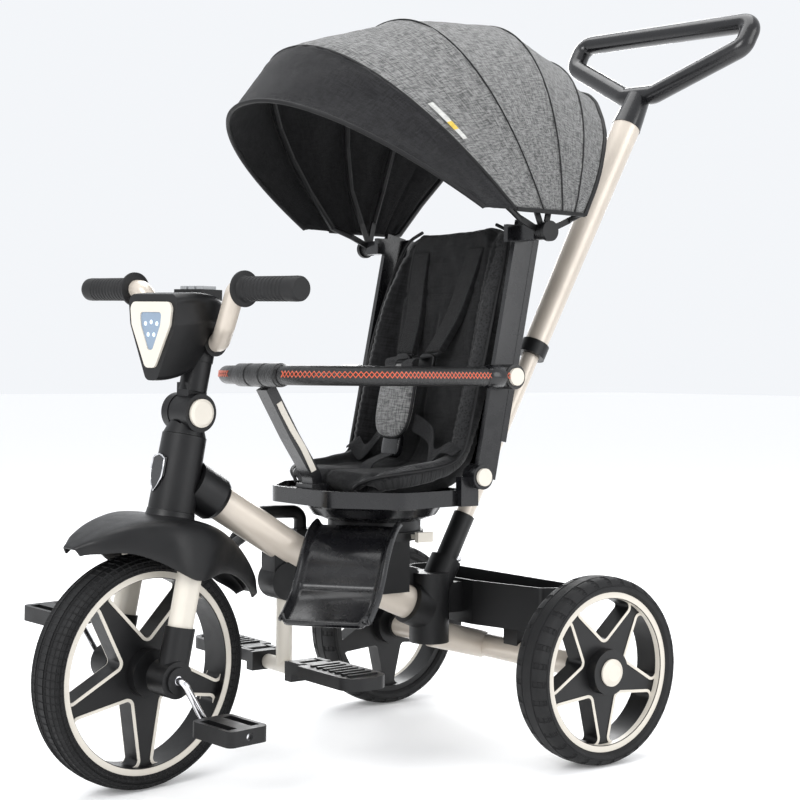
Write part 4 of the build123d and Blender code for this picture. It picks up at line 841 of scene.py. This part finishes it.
SHIELD = Vector((0, AXLE_Y - 0.163, 0.494))
SHIELD_POWER = 3.2        # 2 would be an ellipse
STRAP_WIDE = 0.025
STRAP_THICK = 0.0016
shield = rounded_pad("belly_pad", (0.038, 0.010, 0.053), [melange])
puff(shield, 0.003)
shield.data.transform(back_turn(SHIELD))
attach(shield, "backrest")
outline = []
for k in range(64):
    turn = 2 * pi * k / 64
    box = (abs(cos(turn)) ** SHIELD_POWER + abs(sin(turn)) ** SHIELD_POWER) ** (-1 / SHIELD_POWER)
    outline.append(back_turn(SHIELD) @ Vector((0.0385 * box * cos(turn), 0, 0.0535 * box * sin(turn))))
bound = welt("belly_pad_piping", outline, 0.0022, piping_black, closed=True)
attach(bound, "backrest")
for word, side in (("left", 1), ("right", -1)):
    route = [(liner_point(0.035, side * 0.52, -0.004), (1, 0, 0)),
             (liner_point(0.07, side * 0.50, 0.003), (1, 0, 0)),
             (liner_point(0.16, side * 0.42, 0.007), (1, 0, 0.05 * side)),
             (liner_point(0.26, side * 0.33, 0.012), (1, 0, 0.08 * side)),
             (liner_point(0.36, side * 0.23, 0.026), (1, 0, 0.1 * side)),
             (SHIELD + Vector((side * 0.021, 0.006, 0.056)), (1, 0, 0.1 * side)),
             (SHIELD + Vector((side * 0.018, 0.010, 0.030)), (1, 0, 0))]
    strap = ribbon("shoulder_strap_" + word, route, STRAP_WIDE, STRAP_THICK, webbing)
    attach(strap, "backrest")
    wrap = ribbon("shoulder_pad_" + word, [(spot + BACK_AHEAD * 0.001, way) for spot, way in route[1:5]],
                  0.036, 0.010, liner_cloth, 40)
    apply_modifier(wrap, "BEVEL", width=0.0035, segments=3, limit_method="ANGLE", angle_limit=radians(50))
    smooth(wrap, 50)
    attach(wrap, "backrest")
    lower = [(SHIELD + Vector((side * 0.030, 0.008, -0.030)), (0, 0.2, 1)),
             (SHIELD + Vector((side * 0.060, 0.016, -0.048)), (0, 0.3, 1)),
             (liner_point(0.74, side * 0.62, 0.022), (0, 0.5, 1)),
             (liner_point(0.70, side * 0.82, 0.012), (0, 0.8, 0.6)),
             (liner_point(0.66, side * 0.93, 0.000), (0, 0.9, 0.4))]
    strap = ribbon("waist_strap_" + word, lower, STRAP_WIDE, STRAP_THICK, webbing)
    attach(strap, "backrest")
    slider = rounded_pad("strap_slider_" + word, (0.0165, 0.0035, 0.011), [satin_black], 5.0, 4.0)
    slider.data.transform(back_turn(liner_point(0.385, side * 0.205, 0.034)))
    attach(slider, "backrest")
crotch = ribbon("crotch_strap", [(liner_point(0.86, 0.0, -0.003), (1, 0, 0)),
                                 (liner_point(0.84, 0.0, 0.014), (1, 0, 0)),
                                 (SHIELD + Vector((0, -0.004, -0.070)), (1, 0, 0)),
                                 (SHIELD + Vector((0, 0.006, -0.036)), (1, 0, 0))],
                STRAP_WIDE, STRAP_THICK, webbing)
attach(crotch, "backrest")
buckle = rounded_pad("harness_buckle", (0.020, 0.0065, 0.018), [gloss_black], 4.0, 3.0)
buckle.data.transform(back_turn(SHIELD + Vector((0, -0.006, -0.064))))
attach(buckle, "backrest")

# ---------------------------------------------------------------- guard bar
# The bar is wrapped in pebbled black leather, cross-stitched in orange-red along its outer side,
# with a three-band cuff in the middle and plain black ends beside the hinges.
leather = bpy.data.materials.new("pebbled_leather")
leather.use_nodes = True
leather_tree = leather.node_tree
leather_shader = leather_tree.nodes["Principled BSDF"]
pebbles = leather_tree.nodes.new("ShaderNodeTexVoronoi")
pebbles.inputs["Scale"].default_value = 420.0
leather_place = leather_tree.nodes.new("ShaderNodeTexCoord")
leather_tree.links.new(leather_place.outputs["Object"], pebbles.inputs["Vector"])
leather_tree.links.new(two_tone(leather_tree, pebbles.outputs["Distance"], (0.014, 0.014, 0.015),
                                (0.006, 0.006, 0.006), 0.1, 0.6), leather_shader.inputs["Base Color"])
leather_tree.links.new(relief(leather_tree, pebbles.outputs["Distance"], -0.0006),
                       leather_shader.inputs["Normal"])
leather_tree.links.new(spread(leather_tree, noise_field(leather_tree, 70.0), 0.36, 0.52),
                       leather_shader.inputs["Roughness"])
leather_shader.inputs["Coat Weight"].default_value = 0.1
cover(("guard_bar",), leather)
BAR_X = 0.1712
BAR_FRONT = AXLE_Y - 0.388
BAR_Z = 0.529
BAR_CORNER = 0.112
BAR_RADIUS = 0.0130


def bar_spot(distance, side):
    """Place and outward direction on the bar, from its front middle round to one hinge."""
    flat = BAR_X - BAR_CORNER
    quarter = BAR_CORNER * pi / 2
    if distance < flat:
        return Vector((side * distance, BAR_FRONT, BAR_Z)), Vector((0, -1, 0))
    if distance < flat + quarter:
        turn = (distance - flat) / BAR_CORNER
        out = Vector((side * sin(turn), -cos(turn), 0))
        return Vector((side * flat, BAR_FRONT + BAR_CORNER, BAR_Z)) + out * BAR_CORNER, out
    return (Vector((side * BAR_X, BAR_FRONT + BAR_CORNER + distance - flat - quarter, BAR_Z)),
            Vector((side, 0, 0)))


thread = hard_finish("orange_thread", (0.62, 0.085, 0.022), 0.6, 3000.0, 0.00008, sheen=0.4)
STITCH_PITCH = 0.0062
STITCH_START = 0.068
STITCH_COUNT = 57
STITCH_RADIUS = 0.00085
for word, side in (("left", 1), ("right", -1)):
    for phase in (0, 1):
        places = []
        for k in range(STITCH_COUNT):
            place, out = bar_spot(STITCH_START + k * STITCH_PITCH, side)
            tilt = 0.30 * (1 if (k + phase) % 2 else -1) + 0.12
            places.append(place + (out * cos(tilt) + Vector((0, 0, 1)) * sin(tilt)) * (BAR_RADIUS + 0.0004))
        row = welt(f"guard_stitch_{word}_{phase + 1}", places, STITCH_RADIUS, thread)
        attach(row, "guard_bar")
    rings = [(0.0, 0.0), (0.0, 0.0150), (0.002, 0.0160), (0.020, 0.0160), (0.026, 0.0146),
             (0.028, 0.0133), (0.028, 0.0)]
    end = lathe("guard_end_" + word, rings, (side * BAR_X, AXLE_Y - 0.113, BAR_Z), (0, -1, 0), 48)
    end.data.materials.append(gloss_black)
    smooth(end, 30)
    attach(end, "guard_bar")
CUFF = [(0.0, 0.0), (0.0, 0.0138), (0.0015, 0.0152)]
for k in range(3):
    CUFF += [(0.003 + k * 0.036, 0.0160), (0.033 + k * 0.036, 0.0160), (0.0345 + k * 0.036, 0.0150),
             (0.0375 + k * 0.036, 0.0150)]
CUFF += [(0.1125, 0.0138), (0.1125, 0.0)]
cuff = lathe("guard_cuff", CUFF, (-0.05625, BAR_FRONT, BAR_Z), (1, 0, 0), 48)
cuff.data.materials.append(leather)
smooth(cuff, 30)
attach(cuff, "guard_bar")

# ---------------------------------------------------------------- foot plate
# One glossy black moulding: an S-curved plate with raised rolled side rims, two shallow creases
# across it, a turned-up toe lip and two lugs for its hinge pin.
FOOT_TURN = radians(38.0)
FOOT_HINGE = (-0.084, 0.314)
FOOT_LINE = [(0.0, -0.078, 0.322), (0.10, -0.095, 0.318), (0.22, -0.117, 0.306), (0.36, -0.141, 0.283),
             (0.50, -0.160, 0.258), (0.64, -0.180, 0.236), (0.80, -0.206, 0.219), (0.92, -0.224, 0.2105),
             (0.97, -0.2320, 0.2105), (1.0, -0.2375, 0.2150)]


def foot_shape(u, v):
    y, z = between(FOOT_LINE, v)
    y1, z1 = between(FOOT_LINE, min(1.0, v + 0.02))
    y0, z0 = between(FOOT_LINE, max(0.0, v - 0.02))
    along = Vector((0, y1 - y0, z1 - z0)).normalized()
    look = Vector((0, along.z, -along.y))
    across = 2 * u - 1
    a = abs(across)
    rim = 0.0085 * step_up(a, 0.80, 0.90) - 0.0095 * step_up(a, 0.945, 1.03)
    crease = groove(abs(v - 0.56), 0.0012, 0.02) + groove(abs(v - 0.90), 0.0012, 0.02)
    half = 0.0635 - 0.004 * groove(v - 1.0, -1.0, 0.10)
    return Vector((half * across, y, z)) + look * (rim + crease * (1 if a < 0.8 else 0) + 0.0015)


foot = grid_piece("foot_plate", 64, 90, foot_shape, [gloss_black])
outward(foot, (0, -0.15, 0.1))
apply_modifier(foot, "SOLIDIFY", thickness=0.004, offset=-1.0)
apply_modifier(foot, "BEVEL", width=0.0012, segments=2, limit_method="ANGLE", angle_limit=radians(50))
bpy.ops.object.select_all(action="DESELECT")
lugs = [foot]
for side in (-1, 1):
    bpy.ops.mesh.primitive_cylinder_add(vertices=40, radius=0.0075, depth=0.014,
                                        location=(side * 0.026, *FOOT_HINGE), rotation=(0, pi / 2, 0))
    lug = bpy.context.object
    bpy.ops.object.transform_apply(location=True, rotation=True, scale=True)
    lug.data.materials.append(gloss_black)
    apply_modifier(lug, "BEVEL", width=0.0010, segments=2, limit_method="ANGLE", angle_limit=radians(50))
    lugs.append(lug)
bpy.ops.mesh.primitive_cylinder_add(vertices=32, radius=0.003, depth=0.094, location=(0, *FOOT_HINGE),
                                    rotation=(0, pi / 2, 0))
bpy.ops.object.transform_apply(location=True, rotation=True, scale=True)
bpy.context.object.data.materials.append(gloss_black)
lugs.append(bpy.context.object)
bpy.ops.object.select_all(action="DESELECT")
for lug in lugs:
    lug.select_set(True)
bpy.context.view_layer.objects.active = foot
bpy.ops.object.join()
foot.data.transform(Matrix.Translation((0, AXLE_Y - 0.200, 0)) @ Matrix.Rotation(FOOT_TURN, 4, "Z"))
smooth(foot, 40)
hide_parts("footrest")
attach(foot, "footrest")

# ---------------------------------------------------------------- small parts
# The shield badge's bright edge, screw heads, the cream inlays of the post between the legs,
# and the hood's small sewn tag.
edge = []
for x, z in ((-15, 19), (-7.5, 22.6), (0, 24.4), (7.5, 22.6), (15, 19), (15.3, 7), (14.6, -5), (8, -16),
             (0, -24), (-8, -16), (-14.6, -5), (-15.3, 7)):
    edge.append(head_point(0.403 + z / 1000 * 0.98, 0.0316, x / 1000))
badge_edge = welt("badge_edge", edge, 0.0010, plated, closed=True)
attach(badge_edge, "frame")


def screw(name, place, direction, radius, finish, body):
    """A domed screw head with a recess."""
    rings = [(0.0, 0.0), (0.0, radius), (0.0010, radius), (0.0019, radius * 0.78),
             (0.0022, radius * 0.45), (0.0012, radius * 0.40), (0.0012, 0.0)]
    head = lathe(name, rings, place, direction, 32)
    head.data.materials.append(finish)
    smooth(head, 30)
    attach(head, body)


for word, side in (("left", 1), ("right", -1)):
    screw("handle_screw_low_" + word, (side * 0.0200, AXLE_Y - 0.062, 0.262), (side, 0, 0), 0.0042, plated,
          "handle_swivel")
# places along the post, y from the rear axle, height, and the lean of the inlay's width
POST_LINE = [(-0.312, 0.398, 0.42), (-0.320, 0.413, 0.42), (-0.331, 0.432, 0.42),
             (-0.345, 0.452, 0.45), (-0.360, 0.476, 0.50), (-0.369, 0.492, 0.52)]
for k, side in enumerate((-1, 1)):
    route = [(Vector((side * 0.0134, AXLE_Y + y, z)), (0, cos(lean), sin(lean))) for y, z, lean in POST_LINE]
    inlay = ribbon(f"post_inlay_{k + 1}", route, 0.0085, 0.0016, cream, 40)
    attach(inlay, "seat")
tag_cloth = weave("tag_cloth", (0.50, 0.50, 0.48), (0.66, 0.66, 0.63), 500.0, 0.0001)
tag_yellow = weave("tag_yellow", (0.60, 0.42, 0.05), (0.75, 0.55, 0.10), 500.0, 0.0001)
TAG_COLUMNS = 24
tag = grid_piece("hood_tag", TAG_COLUMNS, 4,
                 lambda u, v: hood_point(49.5 - 1.6 * v, 0.115 + 0.070 * u, 0.0022),
                 [tag_cloth, tag_yellow])
lay_map(tag, 0.045, 0.011, TAG_COLUMNS, 4)
outward(tag, (0, HOOD_AXIS[0], HOOD_AXIS[1]))
for face in tag.data.polygons:
    face.material_index = 1 if 6 <= face.vertices[0] % (TAG_COLUMNS + 1) <= 10 else 0
apply_modifier(tag, "SOLIDIFY", thickness=0.0008, offset=0.0)
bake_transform(tag)
